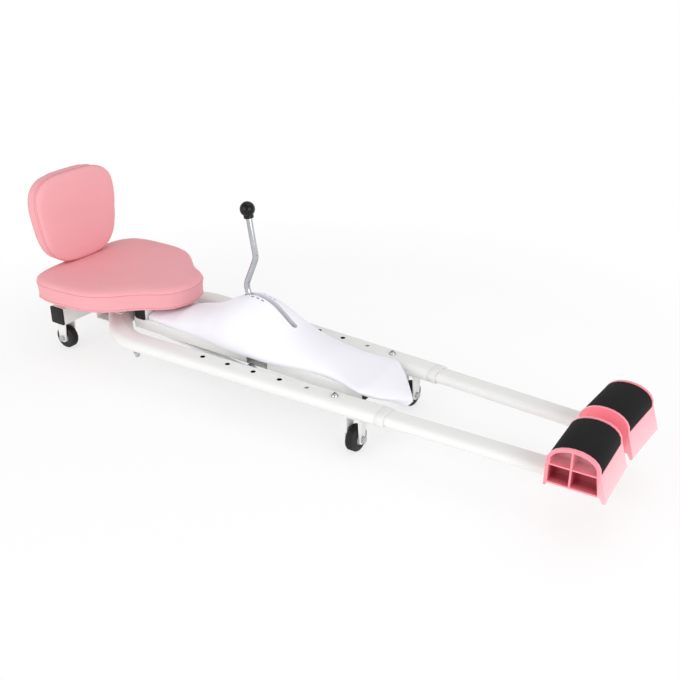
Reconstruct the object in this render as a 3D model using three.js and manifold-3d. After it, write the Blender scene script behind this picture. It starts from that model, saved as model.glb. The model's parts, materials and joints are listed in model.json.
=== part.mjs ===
// Leg stretching machine: a padded seat on a low wheeled frame, two bent legs that swing apart,
// extensions with calf rests that slide out of them, and a hand lever under a moulded cover.
// Millimetres, +Z up. +X points to the sitter's feet, +Y to the sitter's left.
// The lengthwise places below are measured from the clamp bolts of the legs.

import * as THREE from 'three';
import { mergeVertices } from 'three/addons/utils/BufferGeometryUtils.js';
import Module from 'manifold-3d';

const wasm = await Module();
wasm.setup();

// Clearances and cutting allowances
const seatGap = 0.3;
const runGap = 0.6;
const overrun = 10;

// Casters
const wheelDiameter = 50;
const wheelWidth = 21;
const wheelChamfer = 3;
const hubDiameter = 22;
const hubStand = 0.9;
const axleDiameter = 8;
const forkPlate = 2.5;
const forkWidth = 28;
const forkFootWidth = 20;
const wheelPlay = 1.2;
const nutHeight = 5;
const nutDiameter = 14;
const casterTurns = 18;

// Leg tubes, flat oval, with one bend each
const legWidth = 50;
const legHeight = 25;
const legWall = 1.5;
const legCentreHeight = 85.2;
const legOffset = 93;
const legReach = 695.5;
const legTail = 20;
const bendAngle = THREE.MathUtils.degToRad(45.4);
const bendRadius = 110;
const toeIn = THREE.MathUtils.degToRad(2.71);
const pivotX = -606;
const pivotY = 36;
const pivotBoltDiameter = 12;
const pivotNutDiameter = 20;
const pivotHeadHeight = 7;
const pivotFootHeight = 10;
const bushDiameter = 18;
const clampInset = 93.2;
const holePitch = 60;
const holeCount = 5;
const holeDiameter = 9;
const clampHeadDiameter = 14;
const clampHeadHeight = 6;
const clampShankDiameter = 7;
const frontCasterInset = 49;

// Plastic collar in the front end of each leg
const collarFlange = 17;
const collarDepth = 34;

// Extensions and snap buttons
const slideWidth = 42;
const slideHeight = 19.4;
const slideWall = 1.5;
const slideOverlap = 183;
const buttonDiameter = 8;
const buttonHeight = 12;
const buttonFlange = 11;
const buttonFlangeHeight = 2;

// Calf rests
const restWidth = 114.5;
const restReach = 450;
const restInward = 5;
const restBack = 40.5;
const restFront = 45.3;
const restTop = 160;
const restFloor = 91;
const restShoulder = 128;
const restSkirt = 13.3;
const restEdge = 4;
const restLipTip = 1.7;
const restBackShare = 0.8;
const restKneeShare = 0.6;
const restFlareShare = 0.35;
const restSquareShare = 0.85;
const restWall = 5.5;
const restRib = 3;
const restFloorWall = 3;
const shelfHeight = 33;
const shelfWall = 2.6;
const restEndWall = 3;
const lipDrop = 9;
const lipBackDrop = 5;
const rimWidth = 6;
const padThickness = 4.2;
const padSink = 0.5;
const socketWall = 2.5;

// Links between the legs and the ratchet slide
const linkX = -218;
const linkY = 68;
const linkPinX = -541;
const linkPinY = 28;
const linkWidth = 16;
const linkThickness = 5;
const linkDrop = 17.2;
const linkPlateThickness = 5;
const linkPlateBack = 57;
const linkPlateFront = 28;
const linkPlateNose = 10;
const linkBoltDiameter = 8;

// Carrying frame
const rearTubeSize = 38;
const rearTubeX = -712.5;
const rearTubeTop = 100.7;
const rearTubeHalfLength = 116;
const rearCasterX = -713;
const rearCasterY = 97.4;
const frameTubeSize = 25;
const frameWall = 1.6;
const frameCorner = 3;
const crossTubeX = -519.5;
const crossTubeWidth = 27;
const crossTubeHalfLength = 58;
const capThickness = 3;
const capInsert = 12;
const spineWidth = 48;
const spineBackX = -713.5;
const bracketPlate = 2.5;
const bracketBackX = -652.5;
const bracketFrontX = -575;
const bracketHalfWidth = 62;
const railInnerY = 37;
const railWidth = 20;
const railBackX = -540;
const railFrontX = 30;
const railWindowBack = 20;
const railWindowFront = 31;
const railWindowHeight = 14;
const railWindowCut = 10;
const railWindowBottom = 77;
const tieInset = 14;
const tieWidth = 10;
const tieHeight = 18;

// Seat
const seatFrontX = -433;
const seatLength = 339;
const seatHalfWidth = 164;
const seatMiddle = 207;
const seatBottom = 127;
const seatSide = 37;
const seatCrown = 9;
const boardThickness = 12;
const boardShare = 0.9;

// Backrest
const backAhead = 14.3;
const backCentreZ = 273.2;
const backHalfWidth = 106.7;
const backHalfHeight = 100.7;
const backFlareShare = 0.11;
const backRoundness = 3.2;
const backThickness = 36;
const backCrown = 4.5;
const backTilt = THREE.MathUtils.degToRad(2.5);
const backBoardThickness = 9;
const backBoardShare = 0.86;
const strapWidth = 60;
const strapThickness = 5;
const strapTop = 300;
const strapClearance = 1.2;

// Cover
const coverBackX = -502;
const coverLength = 606;
const coverHalfWidth = 76;
const coverHeight = 100.5;
const coverWall = 3;
const slotWidth = 13;
const slotBehind = 33;
const slotAhead = 91;
const slotLip = 2.2;
const slotLipDepth = 13;
const slotFloor = 25;

// Lever and ratchet
const leverX = -248;
const leverZ = 112;
const leverDiameter = 12;
const leverBend = 26;
const leverLowX = -277;
const leverLowZ = 215;
const leverHighX = -250;
const leverHighZ = 276;
const leverKnobX = -266;
const leverKnobZ = 371;
const knobDiameter = 28;
const knobNeck = 17;
const knobNeckLength = 3;
const knobBoreDepth = 15;
const hubRadius = 10;
const hubHalfWidth = 12.5;
const earThickness = 3;
const earRadius = 13;
const earFoot = 19.5;
const basePlate = 3;
const baseBack = 52;
const baseFront = 52;
const baseSlotBack = 38;
const baseSlotFront = 38;
const leverPinDiameter = 8;
const pinHead = 3;
const armAngle = THREE.MathUtils.degToRad(32.5);
const armLength = 15;
const armRadius = 5;
const armThickness = 3.4;
const pawlThickness = 4;
const pawlPinDiameter = 4;
const pawlEye = 4;
const slideBarWidth = 12;
const slideBarBottom = 74;
const slideBarHeight = 8;
const slideBarFrontX = -200;
const toothPitch = 8;
const toothHeight = 2.5;
const toothCount = 17;
const carriageBackX = -550;
const carriageFrontX = -500;
const carriageHeight = 14;

const sides = { left: 1, right: -1 };

// Places that follow from the sizes above
const seatBackX = seatFrontX - seatLength;
const seatCentreX = seatFrontX - seatMiddle;
const backCentreX = seatBackX + backAhead;
const legBottom = legCentreHeight - legHeight / 2;
const legTop = legCentreHeight + legHeight / 2;
const linkHeight = legCentreHeight - linkDrop;
const frameBase = rearTubeTop + seatGap;
const frameTop = frameBase + frameTubeSize;
const coverBase = rearTubeTop + seatGap;
const wheelRadius = wheelDiameter / 2;
const clampReach = legReach - clampInset;
const forkHalf = wheelWidth / 2 + wheelPlay + forkPlate;
const pawlReach = leverZ - armLength - slideBarBottom - slideBarHeight - seatGap;

const materials = {
  frameWhite: { color: 0xebebe9, roughness: 0.38, metalness: 0.1 },
  coverWhite: { color: 0xf3f2f8, roughness: 0.42, metalness: 0 },
  leatherette: { color: 0xe8a3a8, roughness: 0.55, metalness: 0 },
  board: { color: 0xb78d5c, roughness: 0.8, metalness: 0 },
  restPink: { color: 0xff8a9a, roughness: 0.45, metalness: 0 },
  padBlack: { color: 0x222021, roughness: 0.9, metalness: 0 },
  capBlack: { color: 0x333333, roughness: 0.6, metalness: 0 },
  knobBlack: { color: 0x101010, roughness: 0.15, metalness: 0 },
  chrome: { color: 0xd8dadc, roughness: 0.12, metalness: 1 },
  zinc: { color: 0xc9cbcc, roughness: 0.35, metalness: 0.9 },
  tread: { color: 0x1b1b1b, roughness: 0.7, metalness: 0 },
};

// Solids: a closed geometry becomes a manifold for joins and cuts, and comes back

function solid(geometry) {
  const bare = geometry.clone();
  bare.deleteAttribute('normal');
  bare.deleteAttribute('uv');
  const merged = mergeVertices(bare, 1e-4);
  return new wasm.Manifold(new wasm.Mesh({
    numProp: 3,
    vertProperties: new Float32Array(merged.attributes.position.array),
    triVerts: new Uint32Array(merged.index.array),
  }));
}

function geometryOf(body) {
  const mesh = body.getMesh();
  const geometry = new THREE.BufferGeometry();
  geometry.setAttribute('position', new THREE.BufferAttribute(mesh.vertProperties, 3));
  geometry.setIndex(new THREE.BufferAttribute(mesh.triVerts, 1));
  geometry.computeVertexNormals();
  return geometry;
}

function join(...geometries) {
  return geometryOf(geometries.map(solid).reduce((sum, body) => sum.add(body)));
}

function cut(geometry, ...tools) {
  return geometryOf(tools.map(solid).reduce((rest, tool) => rest.subtract(tool), solid(geometry)));
}

function named(parent, name, geometry, look) {
  const mesh = new THREE.Mesh(geometry, new THREE.MeshStandardMaterial(materials[look]));
  mesh.name = name;
  parent.add(mesh);
  return mesh;
}

// Shapes and prisms

function polygon(points) {
  return new THREE.Shape(points.map(([x, y]) => new THREE.Vector2(x, y)));
}

function block(from, to) {
  const size = to.map((value, axis) => value - from[axis]);
  const geometry = new THREE.BoxGeometry(...size);
  return geometry.translate(...to.map((value, axis) => (value + from[axis]) / 2));
}

function roundedRectangle(width, height, corner) {
  const shape = new THREE.Shape();
  const x = width / 2 - corner;
  const y = height / 2 - corner;
  shape.absarc(x, y, corner, 0, Math.PI / 2);
  shape.absarc(-x, y, corner, Math.PI / 2, Math.PI);
  shape.absarc(-x, -y, corner, Math.PI, Math.PI * 1.5);
  shape.absarc(x, -y, corner, Math.PI * 1.5, Math.PI * 2);
  return shape;
}

// A flat oval whose long side runs along the second axis of the shape
function flatOval(width, height) {
  const shape = new THREE.Shape();
  const y = (width - height) / 2;
  shape.absarc(0, y, height / 2, 0, Math.PI);
  shape.absarc(0, -y, height / 2, Math.PI, Math.PI * 2);
  return shape;
}

function extrude(shape, depth, curveSegments) {
  return new THREE.ExtrudeGeometry(shape, { depth, bevelEnabled: false, curveSegments });
}

// Shape axes become Y and Z, swept along X
function alongX(shape, from, to, curveSegments = 1) {
  const geometry = extrude(shape, to - from, curveSegments);
  const turn = new THREE.Matrix4().makeBasis(
    new THREE.Vector3(0, 1, 0), new THREE.Vector3(0, 0, 1), new THREE.Vector3(1, 0, 0));
  return geometry.applyMatrix4(turn).translate(from, 0, 0);
}

// Shape axes become X and Z, swept along Y
function alongY(shape, from, to, curveSegments = 5) {
  const geometry = extrude(shape, to - from, curveSegments);
  const turn = new THREE.Matrix4().makeBasis(
    new THREE.Vector3(1, 0, 0), new THREE.Vector3(0, 0, 1), new THREE.Vector3(0, -1, 0));
  return geometry.applyMatrix4(turn).translate(0, to, 0);
}

function alongZ(shape, from, to, curveSegments = 5) {
  return extrude(shape, to - from, curveSegments).translate(0, 0, from);
}

// A round or six-sided bar between two points
function bar(diameter, from, to, segments = 16) {
  const start = new THREE.Vector3(...from);
  const end = new THREE.Vector3(...to);
  const axis = end.clone().sub(start);
  const geometry = new THREE.CylinderGeometry(diameter / 2, diameter / 2, axis.length(), segments);
  const turn = new THREE.Quaternion().setFromUnitVectors(new THREE.Vector3(0, 1, 0), axis.normalize());
  return geometry.applyQuaternion(turn).translate(...start.add(end).multiplyScalar(0.5));
}

// A round body from its profile: distance from the axis, then height along the shape's Y
function lathe(profile, turns) {
  return new THREE.LatheGeometry(profile.map(([x, y]) => new THREE.Vector2(x, y)), turns);
}

// A path of stations: straight runs with a round bend at each inner corner
class StationPath extends THREE.Curve {
  constructor(corners, radius, stepsPerBend) {
    super();
    this.places = [corners[0]];
    this.headings = [corners[1].clone().sub(corners[0]).normalize()];
    for (let k = 1; k < corners.length - 1; k += 1) {
      const before = corners[k].clone().sub(corners[k - 1]).normalize();
      const after = corners[k + 1].clone().sub(corners[k]).normalize();
      const turn = before.angleTo(after);
      const axis = before.clone().cross(after).normalize();
      const start = corners[k].clone().addScaledVector(before, -radius * Math.tan(turn / 2));
      const centre = start.clone().addScaledVector(axis.clone().cross(before), radius);
      for (let step = 0; step <= stepsPerBend; step += 1) {
        const angle = turn * step / stepsPerBend;
        this.places.push(start.clone().sub(centre).applyAxisAngle(axis, angle).add(centre));
        this.headings.push(before.clone().applyAxisAngle(axis, angle));
      }
    }
    this.places.push(corners[corners.length - 1]);
    this.headings.push(this.headings[this.headings.length - 1].clone());
    this.steps = this.places.length - 1;
  }

  getPointAt(share) {
    return this.places[Math.round(share * this.steps)].clone();
  }

  getTangentAt(share) {
    return this.headings[Math.round(share * this.steps)].clone();
  }
}

function sweep(shape, path, curveSegments) {
  return new THREE.ExtrudeGeometry(shape, { extrudePath: path, steps: path.steps, curveSegments });
}

// A closed body from rings of equal count, ended at each side by a centre point
function ringBody(rings, startCentre, endCentre) {
  const count = rings[0].length;
  const points = [startCentre, ...rings.flat(), endCentre];
  const last = points.length - 1;
  const faces = [];
  for (let k = 0; k < count; k += 1) {
    const next = (k + 1) % count;
    faces.push(0, 1 + next, 1 + k);
    for (let ring = 0; ring < rings.length - 1; ring += 1) {
      const low = 1 + ring * count;
      const high = low + count;
      faces.push(low + k, low + next, high + next, low + k, high + next, high + k);
    }
    const top = 1 + (rings.length - 1) * count;
    faces.push(last, top + k, top + next);
  }
  const geometry = new THREE.BufferGeometry();
  const numbers = points.flatMap((point) => point.toArray());
  geometry.setAttribute('position', new THREE.Float32BufferAttribute(numbers, 3));
  geometry.setIndex(faces);
  geometry.computeVertexNormals();
  return geometry;
}

// Casters. The axle runs along X at the origin, and the fork reaches up to the given height.

function wheelGeometry() {
  const bore = axleDiameter / 2 + seatGap;
  const half = wheelWidth / 2;
  const profile = [
    [bore, -half - hubStand], [hubDiameter / 2, -half - hubStand], [hubDiameter / 2, -half],
    [wheelRadius - wheelChamfer, -half], [wheelRadius, -half + wheelChamfer],
    [wheelRadius, half - wheelChamfer], [wheelRadius - wheelChamfer, half],
    [hubDiameter / 2, half], [hubDiameter / 2, half + hubStand], [bore, half + hubStand],
    [bore, -half - hubStand],
  ];
  const geometry = lathe(profile, casterTurns);
  return geometry.rotateZ(-Math.PI / 2);
}

function forkGeometry(height) {
  const foot = forkFootWidth / 2;
  const shape = new THREE.Shape();
  shape.moveTo(-forkWidth / 2, height);
  shape.lineTo(-foot, 0);
  shape.absarc(0, 0, foot, Math.PI, Math.PI * 2);
  shape.lineTo(forkWidth / 2, height);
  shape.closePath();
  const plates = [-forkHalf, forkHalf - forkPlate].map((from) => alongX(shape, from, from + forkPlate, 4));
  const top = block([-forkHalf, -forkWidth / 2, height - forkPlate], [forkHalf, forkWidth / 2, height]);
  const bore = bar(axleDiameter + 2 * seatGap, [-forkHalf - overrun, 0, 0], [forkHalf + overrun, 0, 0]);
  return cut(join(...plates, top), bore);
}

function axleGeometry() {
  const face = forkHalf + seatGap;
  const end = face + nutHeight;
  return join(
    bar(axleDiameter, [-end, 0, 0], [end, 0, 0]),
    bar(nutDiameter, [-end, 0, 0], [-face, 0, 0], 6),
    bar(nutDiameter, [face, 0, 0], [end, 0, 0], 6));
}

function addCaster(parent, side, place, x, y, topHeight, turn) {
  const caster = new THREE.Group();
  caster.position.set(x, y, wheelRadius);
  caster.rotation.z = turn;
  parent.add(caster);
  named(caster, `${place}_fork_${side}`, forkGeometry(topHeight - seatGap - wheelRadius), 'frameWhite');
  named(caster, `${place}_axle_${side}`, axleGeometry(), 'zinc');
  named(caster, `${place}_wheel_${side}`, wheelGeometry(), 'tread');
}

// Carrying frame

function hollowRectangle(width, height, wall, corner) {
  const shape = roundedRectangle(width, height, corner);
  shape.holes.push(roundedRectangle(width - 2 * wall, height - 2 * wall, corner - wall));
  return shape;
}

// End plug: a flange over the tube end and an insert inside it, both along X
function plugGeometry(width, height, wall) {
  const inner = (size) => size - 2 * (wall + seatGap);
  return join(
    alongX(roundedRectangle(width, height, frameCorner), seatGap, seatGap + capThickness),
    alongX(roundedRectangle(inner(width), inner(height), frameCorner - wall), -capInsert, seatGap + wall));
}

function addFrame(parent) {
  const rearTubeZ = rearTubeTop - rearTubeSize / 2;
  const rearTube = alongX(
    hollowRectangle(rearTubeSize, rearTubeSize, frameWall, frameCorner),
    -rearTubeHalfLength, rearTubeHalfLength);
  named(parent, 'rear_cross_tube', rearTube, 'frameWhite')
    .position.set(rearTubeX, 0, rearTubeZ);
  parent.getObjectByName('rear_cross_tube').rotation.z = Math.PI / 2;

  const crossTubeZ = frameBase + frameTubeSize / 2;
  const crossTube = alongX(
    hollowRectangle(crossTubeWidth, frameTubeSize, frameWall, frameCorner),
    -crossTubeHalfLength, crossTubeHalfLength);
  named(parent, 'front_cross_tube', crossTube, 'frameWhite')
    .position.set(crossTubeX, 0, crossTubeZ);
  parent.getObjectByName('front_cross_tube').rotation.z = Math.PI / 2;

  const spineFrontX = crossTubeX - crossTubeWidth / 2 - seatGap;
  const spine = alongX(
    hollowRectangle(spineWidth, frameTubeSize, frameWall, frameCorner), spineBackX, spineFrontX);
  named(parent, 'seat_spine', spine, 'frameWhite').position.z = crossTubeZ;

  for (const [side, sign] of Object.entries(sides)) {
    const rearPlug = named(
      parent, `rear_cap_${side}`, plugGeometry(rearTubeSize, rearTubeSize, frameWall), 'capBlack');
    rearPlug.position.set(rearTubeX, sign * rearTubeHalfLength, rearTubeZ);
    rearPlug.rotation.z = sign * Math.PI / 2;

    const crossPlug = named(
      parent, `cross_cap_${side}`, plugGeometry(crossTubeWidth, frameTubeSize, frameWall), 'capBlack');
    crossPlug.position.set(crossTubeX, sign * crossTubeHalfLength, crossTubeZ);
    crossPlug.rotation.z = sign * Math.PI / 2;

    addRail(parent, side, sign);
    addCaster(
      parent, side, 'rear', rearCasterX, sign * rearCasterY, rearTubeTop - rearTubeSize, Math.PI / 2);
  }

  const tieFrontX = railFrontX - tieInset;
  const tieTop = rearTubeTop - (frameTubeSize - tieHeight) / 2;
  named(parent, 'rail_tie', block(
    [tieFrontX - tieWidth, -railInnerY + seatGap, tieTop - tieHeight],
    [tieFrontX, railInnerY - seatGap, tieTop]), 'frameWhite');
}

function addRail(parent, side, sign) {
  const railY = railInnerY + railWidth / 2;
  const railZ = rearTubeTop - frameTubeSize / 2;
  const tube = alongX(
    hollowRectangle(railWidth, frameTubeSize, frameWall, frameCorner), railBackX, railFrontX);
  const windowY = sign * railWidth / 2;
  const windowZ = railWindowBottom - railZ;
  const windowCut = block(
    [linkX - railWindowBack, windowY - railWindowCut / 2, windowZ],
    [linkX + railWindowFront, windowY + railWindowCut / 2, windowZ + railWindowHeight]);
  named(parent, `side_rail_${side}`, cut(tube, windowCut), 'frameWhite')
    .position.set(0, sign * railY, railZ);
  named(parent, `rail_plug_${side}`, plugGeometry(railWidth, frameTubeSize, frameWall), 'capBlack')
    .position.set(railFrontX, sign * railY, railZ);
}

// Folded plate that holds both legs between its flanges
function addPivotBracket(parent) {
  const top = rearTubeTop;
  const bottom = legBottom - seatGap - bracketPlate;
  const inner = [legBottom - seatGap, top - bracketPlate];
  const shape = polygon([
    [bracketBackX, bottom], [bracketFrontX, bottom], [bracketFrontX, inner[0]],
    [bracketBackX + bracketPlate, inner[0]], [bracketBackX + bracketPlate, inner[1]],
    [bracketFrontX, inner[1]], [bracketFrontX, top], [bracketBackX, top],
  ]);
  const bores = Object.values(sides).map((sign) => bar(
    pivotBoltDiameter + 2 * seatGap,
    [pivotX, sign * pivotY, bottom - overrun], [pivotX, sign * pivotY, top + overrun]));
  const folded = alongY(shape, -bracketHalfWidth, bracketHalfWidth);
  named(parent, 'pivot_bracket', cut(folded, ...bores), 'frameWhite');

  for (const [side, sign] of Object.entries(sides)) {
    const low = bottom - seatGap - pivotFootHeight;
    const high = top + seatGap + pivotHeadHeight;
    const bolt = join(
      bar(pivotBoltDiameter, [0, 0, low], [0, 0, high]),
      bar(pivotNutDiameter, [0, 0, top + seatGap], [0, 0, high], 6),
      bar(pivotNutDiameter, [0, 0, low], [0, 0, bottom - seatGap], 6));
    named(parent, `pivot_bolt_${side}`, bolt, 'zinc').position.set(pivotX, sign * pivotY, 0);
  }
}

// Seat: half the plan, from the middle of the back edge round to the middle of the front edge
const seatPlanShares = [
  [0, 0], [0, 0.5], [0.03, 0.8], [0.1, 0.95], [0.21, 1], [0.36, 1], [0.46, 0.99], [0.55, 0.95],
  [0.63, 0.865], [0.71, 0.72], [0.78, 0.585], [0.85, 0.485], [0.92, 0.4], [0.968, 0.28], [1, 0],
];

// Seat rings: share of the plan, share of the side's height, share of the crown's height
const seatRingShares = [
  [0.965, 0, 0], [0.99, 0.12, 0], [0.985, 0.5, 0], [0.992, 0.86, 0], [1, 1, 0],
  [0.978, 1, 0.42], [0.92, 1, 0.72], [0.78, 1, 0.91], [0.45, 1, 1],
];

function seatPlan() {
  const half = seatPlanShares.map(([along, across]) => new THREE.Vector3(
    seatBackX + along * seatLength, across * seatHalfWidth, 0));
  const other = half.slice(1, -1).reverse().map((point) => new THREE.Vector3(point.x, -point.y, 0));
  const curve = new THREE.CatmullRomCurve3([...half, ...other], true, 'centripetal');
  return curve.getSpacedPoints(40).slice(0, -1).reverse();
}

// A ring of the plan, shrunk towards the middle of the seat, at a height
function seatRing(plan, share, z) {
  return plan.map((point) => new THREE.Vector3(
    seatCentreX + (point.x - seatCentreX) * share, point.y * share, z));
}

function addSeat(parent) {
  const plan = seatPlan();
  const recessShare = boardShare + runGap / (seatCentreX - seatBackX);
  const ceiling = frameTop + seatGap + boardThickness + seatGap;
  const seam = seatBottom + seatSide;
  const rings = [
    seatRing(plan, recessShare, ceiling),
    seatRing(plan, recessShare, seatBottom),
    ...seatRingShares.map(([share, side, crown]) => seatRing(
      plan, share, seatBottom + side * seatSide + crown * seatCrown)),
  ];
  const cushion = ringBody(
    rings, new THREE.Vector3(seatCentreX, 0, ceiling), new THREE.Vector3(seatCentreX, 0, seam + seatCrown));
  named(parent, 'seat_cushion', cushion, 'leatherette');

  const low = frameTop + seatGap;
  const board = ringBody(
    [seatRing(plan, boardShare, low), seatRing(plan, boardShare, low + boardThickness)],
    new THREE.Vector3(seatCentreX, 0, low), new THREE.Vector3(seatCentreX, 0, low + boardThickness));
  named(parent, 'seat_board', board, 'board');
}

// Backrest rings: share of the outline, share of the thickness, share of the crown's height
const backRingShares = [
  [0.955, 0, 0], [0.99, 0.1, 0], [0.982, 0.45, 0], [0.99, 0.8, 0], [1, 0.9, 0],
  [0.975, 1, 0], [0.9, 1, 0.55], [0.7, 1, 0.88], [0.38, 1, 1],
];

// Backrest, in its own frame: the depth runs along +X from the back face, the height along Z
function backRing(share, depth) {
  const count = 40;
  const ring = [];
  for (let k = 0; k < count; k += 1) {
    const angle = 2 * Math.PI * k / count;
    const power = (value) => Math.sign(value) * Math.abs(value) ** (2 / backRoundness);
    const up = power(Math.sin(angle));
    const across = power(Math.cos(angle)) * (1 + backFlareShare * up);
    ring.push(new THREE.Vector3(depth, across * backHalfWidth * share, up * backHalfHeight * share));
  }
  return ring;
}

function addBackrest(parent) {
  const back = new THREE.Group();
  back.position.set(backCentreX, 0, backCentreZ);
  back.rotation.y = -backTilt;
  parent.add(back);
  const rear = -backThickness / 2;
  const recessShare = backBoardShare + runGap / backHalfHeight;
  const recess = rear + backBoardThickness + seatGap;
  const rings = [
    backRing(recessShare, recess),
    backRing(recessShare, rear),
    ...backRingShares.map(([share, depth, crown]) => backRing(
      share, rear + depth * backThickness + crown * backCrown)),
  ];
  const cushion = ringBody(
    rings, new THREE.Vector3(recess, 0, 0), new THREE.Vector3(rear + backThickness + backCrown, 0, 0));
  named(back, 'backrest_cushion', cushion, 'leatherette');
  const board = ringBody(
    [backRing(backBoardShare, rear), backRing(backBoardShare, rear + backBoardThickness)],
    new THREE.Vector3(rear, 0, 0), new THREE.Vector3(rear + backBoardThickness, 0, 0));
  named(back, 'backrest_board', board, 'board');

  // Strap: flat on the rear cross tube, upright behind the seat, then leaning with the backrest
  const slope = Math.tan(backTilt);
  const uprightX = seatBackX - strapClearance;
  const standoff = (backThickness / 2 + seatGap) / Math.cos(backTilt);
  const leanX = (z) => backCentreX - standoff - (z - backCentreZ) * slope;
  const kneeZ = backCentreZ + (leanX(backCentreZ) - uprightX) / slope;
  const strap = polygon([
    [spineBackX - seatGap, frameBase], [spineBackX - seatGap, frameBase + strapThickness],
    [uprightX, frameBase + strapThickness], [uprightX, kneeZ], [leanX(strapTop), strapTop],
    [leanX(strapTop) - strapThickness, strapTop], [uprightX - strapThickness, kneeZ],
    [uprightX - strapThickness, frameBase],
  ]);
  named(parent, 'backrest_bracket', alongY(strap, -strapWidth / 2, strapWidth / 2), 'frameWhite');
}

// Cover. Each row: place along the length, half width, ridge, widest line and rim as shares of the
// cover's length, half width and height above the rails, rim width as a share of the half width,
// and the roundness of the section.
const coverRowShares = [
  [0, 0.7, 0.16, 0.05, 0, 0.96, 2.2],
  [0.05, 0.735, 0.18, 0.05, 0, 0.96, 2.2],
  [0.1, 0.775, 0.21, 0.05, 0, 0.96, 2.2],
  [0.13, 0.79, 0.3, 0.05, 0, 0.96, 2.1],
  [0.17, 0.8, 0.37, 0.05, 0, 0.96, 2.1],
  [0.22, 0.82, 0.465, 0.05, 0, 0.96, 2],
  [0.26, 0.855, 0.57, 0.06, 0, 0.96, 2],
  [0.3, 0.885, 0.7, 0.06, 0, 0.96, 1.9],
  [0.33, 0.92, 0.81, 0.07, 0, 0.96, 1.85],
  [0.37, 0.955, 0.93, 0.07, 0, 0.96, 1.75],
  [0.4, 0.97, 0.985, 0.07, 0, 0.96, 1.7],
  [0.425, 0.985, 1, 0.07, 0, 0.96, 1.65],
  [0.46, 1, 0.955, 0.07, 0, 0.96, 1.65],
  [0.49, 1, 0.875, 0.07, 0, 0.96, 1.65],
  [0.52, 0.995, 0.74, 0.07, 0, 0.96, 1.7],
  [0.55, 0.97, 0.595, 0.06, 0, 0.96, 1.8],
  [0.58, 0.935, 0.475, 0.06, 0, 0.96, 1.9],
  [0.62, 0.87, 0.39, 0.05, 0, 0.96, 2],
  [0.67, 0.79, 0.32, 0.05, 0, 0.96, 2.2],
  [0.72, 0.745, 0.27, 0.05, 0, 0.96, 2.4],
  [0.78, 0.775, 0.18, 0.04, 0, 0.96, 2.7],
  [0.83, 0.87, 0.11, 0.03, 0, 0.97, 3],
  [0.87, 0.94, 0.07, 0.01, -0.02, 0.97, 3.4],
  [0.89, 0.89, 0.05, -0.025, -0.085, 0.93, 3],
  [0.91, 0.775, 0.01, -0.08, -0.165, 0.86, 2.6],
  [0.93, 0.645, -0.035, -0.135, -0.25, 0.68, 2.4],
  [0.95, 0.48, -0.08, -0.175, -0.33, 0.5, 2.2],
  [0.97, 0.3, -0.125, -0.215, -0.4, 0.35, 2],
  [0.985, 0.165, -0.17, -0.25, -0.4, 0.4, 2],
  [1, 0.04, -0.22, -0.28, -0.35, 0.5, 2],
];

// One section of the cover, or of the space inside it when the wall is taken off
function coverRing(row, wall, stepsPerSide, shiftX = 0, drop = 0) {
  const [along, width, ridge, belt, rim, rimWidth, roundness] = row;
  const x = coverBackX + along * coverLength + shiftX;
  const half = width * coverHalfWidth - wall;
  const beltZ = coverBase + belt * coverHeight - drop;
  const rise = coverBase + ridge * coverHeight - wall - drop - beltZ;
  const rimZ = coverBase + rim * coverHeight - (wall > 0 ? overrun : 0) - drop;
  const rimY = width * rimWidth * coverHalfWidth - wall;
  const ring = [new THREE.Vector3(x, -rimY, rimZ)];
  for (let step = -stepsPerSide; step <= stepsPerSide; step += 1) {
    const angle = Math.PI / 2 * step / stepsPerSide;
    const across = Math.sign(step) * Math.abs(Math.sin(angle)) ** (2 / roundness);
    const up = Math.max(Math.cos(angle), 0) ** (2 / roundness);
    const lift = Math.abs(step) === stepsPerSide ? 0 : up * rise;
    ring.push(new THREE.Vector3(x, across * half, beltZ + lift));
  }
  ring.push(new THREE.Vector3(x, rimY, rimZ));
  return ring;
}

function ringMiddle(ring) {
  const sum = ring.reduce((total, point) => total.add(point), new THREE.Vector3());
  return sum.divideScalar(ring.length);
}

function coverBody(rows, wall, stepsPerSide, drop = 0) {
  const shiftX = (index) => (wall > 0 && index === 0 ? wall : 0);
  const rings = rows.map(
    (row, index) => coverRing(row, wall, stepsPerSide, shiftX(index), drop).reverse());
  return ringBody(rings, ringMiddle(rings[0]), ringMiddle(rings[rings.length - 1]));
}

// The lever's slot, seen from above
function slotShape(width) {
  const shape = new THREE.Shape();
  const radius = width / 2;
  shape.absarc(leverX - slotBehind + slotWidth / 2, 0, radius, Math.PI / 2, Math.PI * 1.5);
  shape.absarc(leverX + slotAhead - slotWidth / 2, 0, radius, -Math.PI / 2, Math.PI / 2);
  return shape;
}

function addCover(parent) {
  const hollowRows = coverRowShares.filter(([along]) => along <= 0.97);
  const slotBottom = coverBase + slotFloor;
  const slotTop = coverBase + coverHeight + overrun;
  const outer = solid(coverBody(coverRowShares, 0, 7));
  const hollow = solid(coverBody(hollowRows, coverWall, 5));
  const lowered = solid(coverBody(coverRowShares, 0, 7, slotLipDepth));
  const lip = solid(alongZ(slotShape(slotWidth + 2 * slotLip), slotBottom, slotTop))
    .intersect(outer)
    .subtract(lowered);
  const slot = solid(alongZ(slotShape(slotWidth), slotBottom, slotTop));
  named(parent, 'front_cover', geometryOf(outer.subtract(hollow).add(lip).subtract(slot)), 'coverWhite');
}

// Hand lever: bracket on the rails, pin, bent rod with its hub and arm, knob and drive pawl

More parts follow.
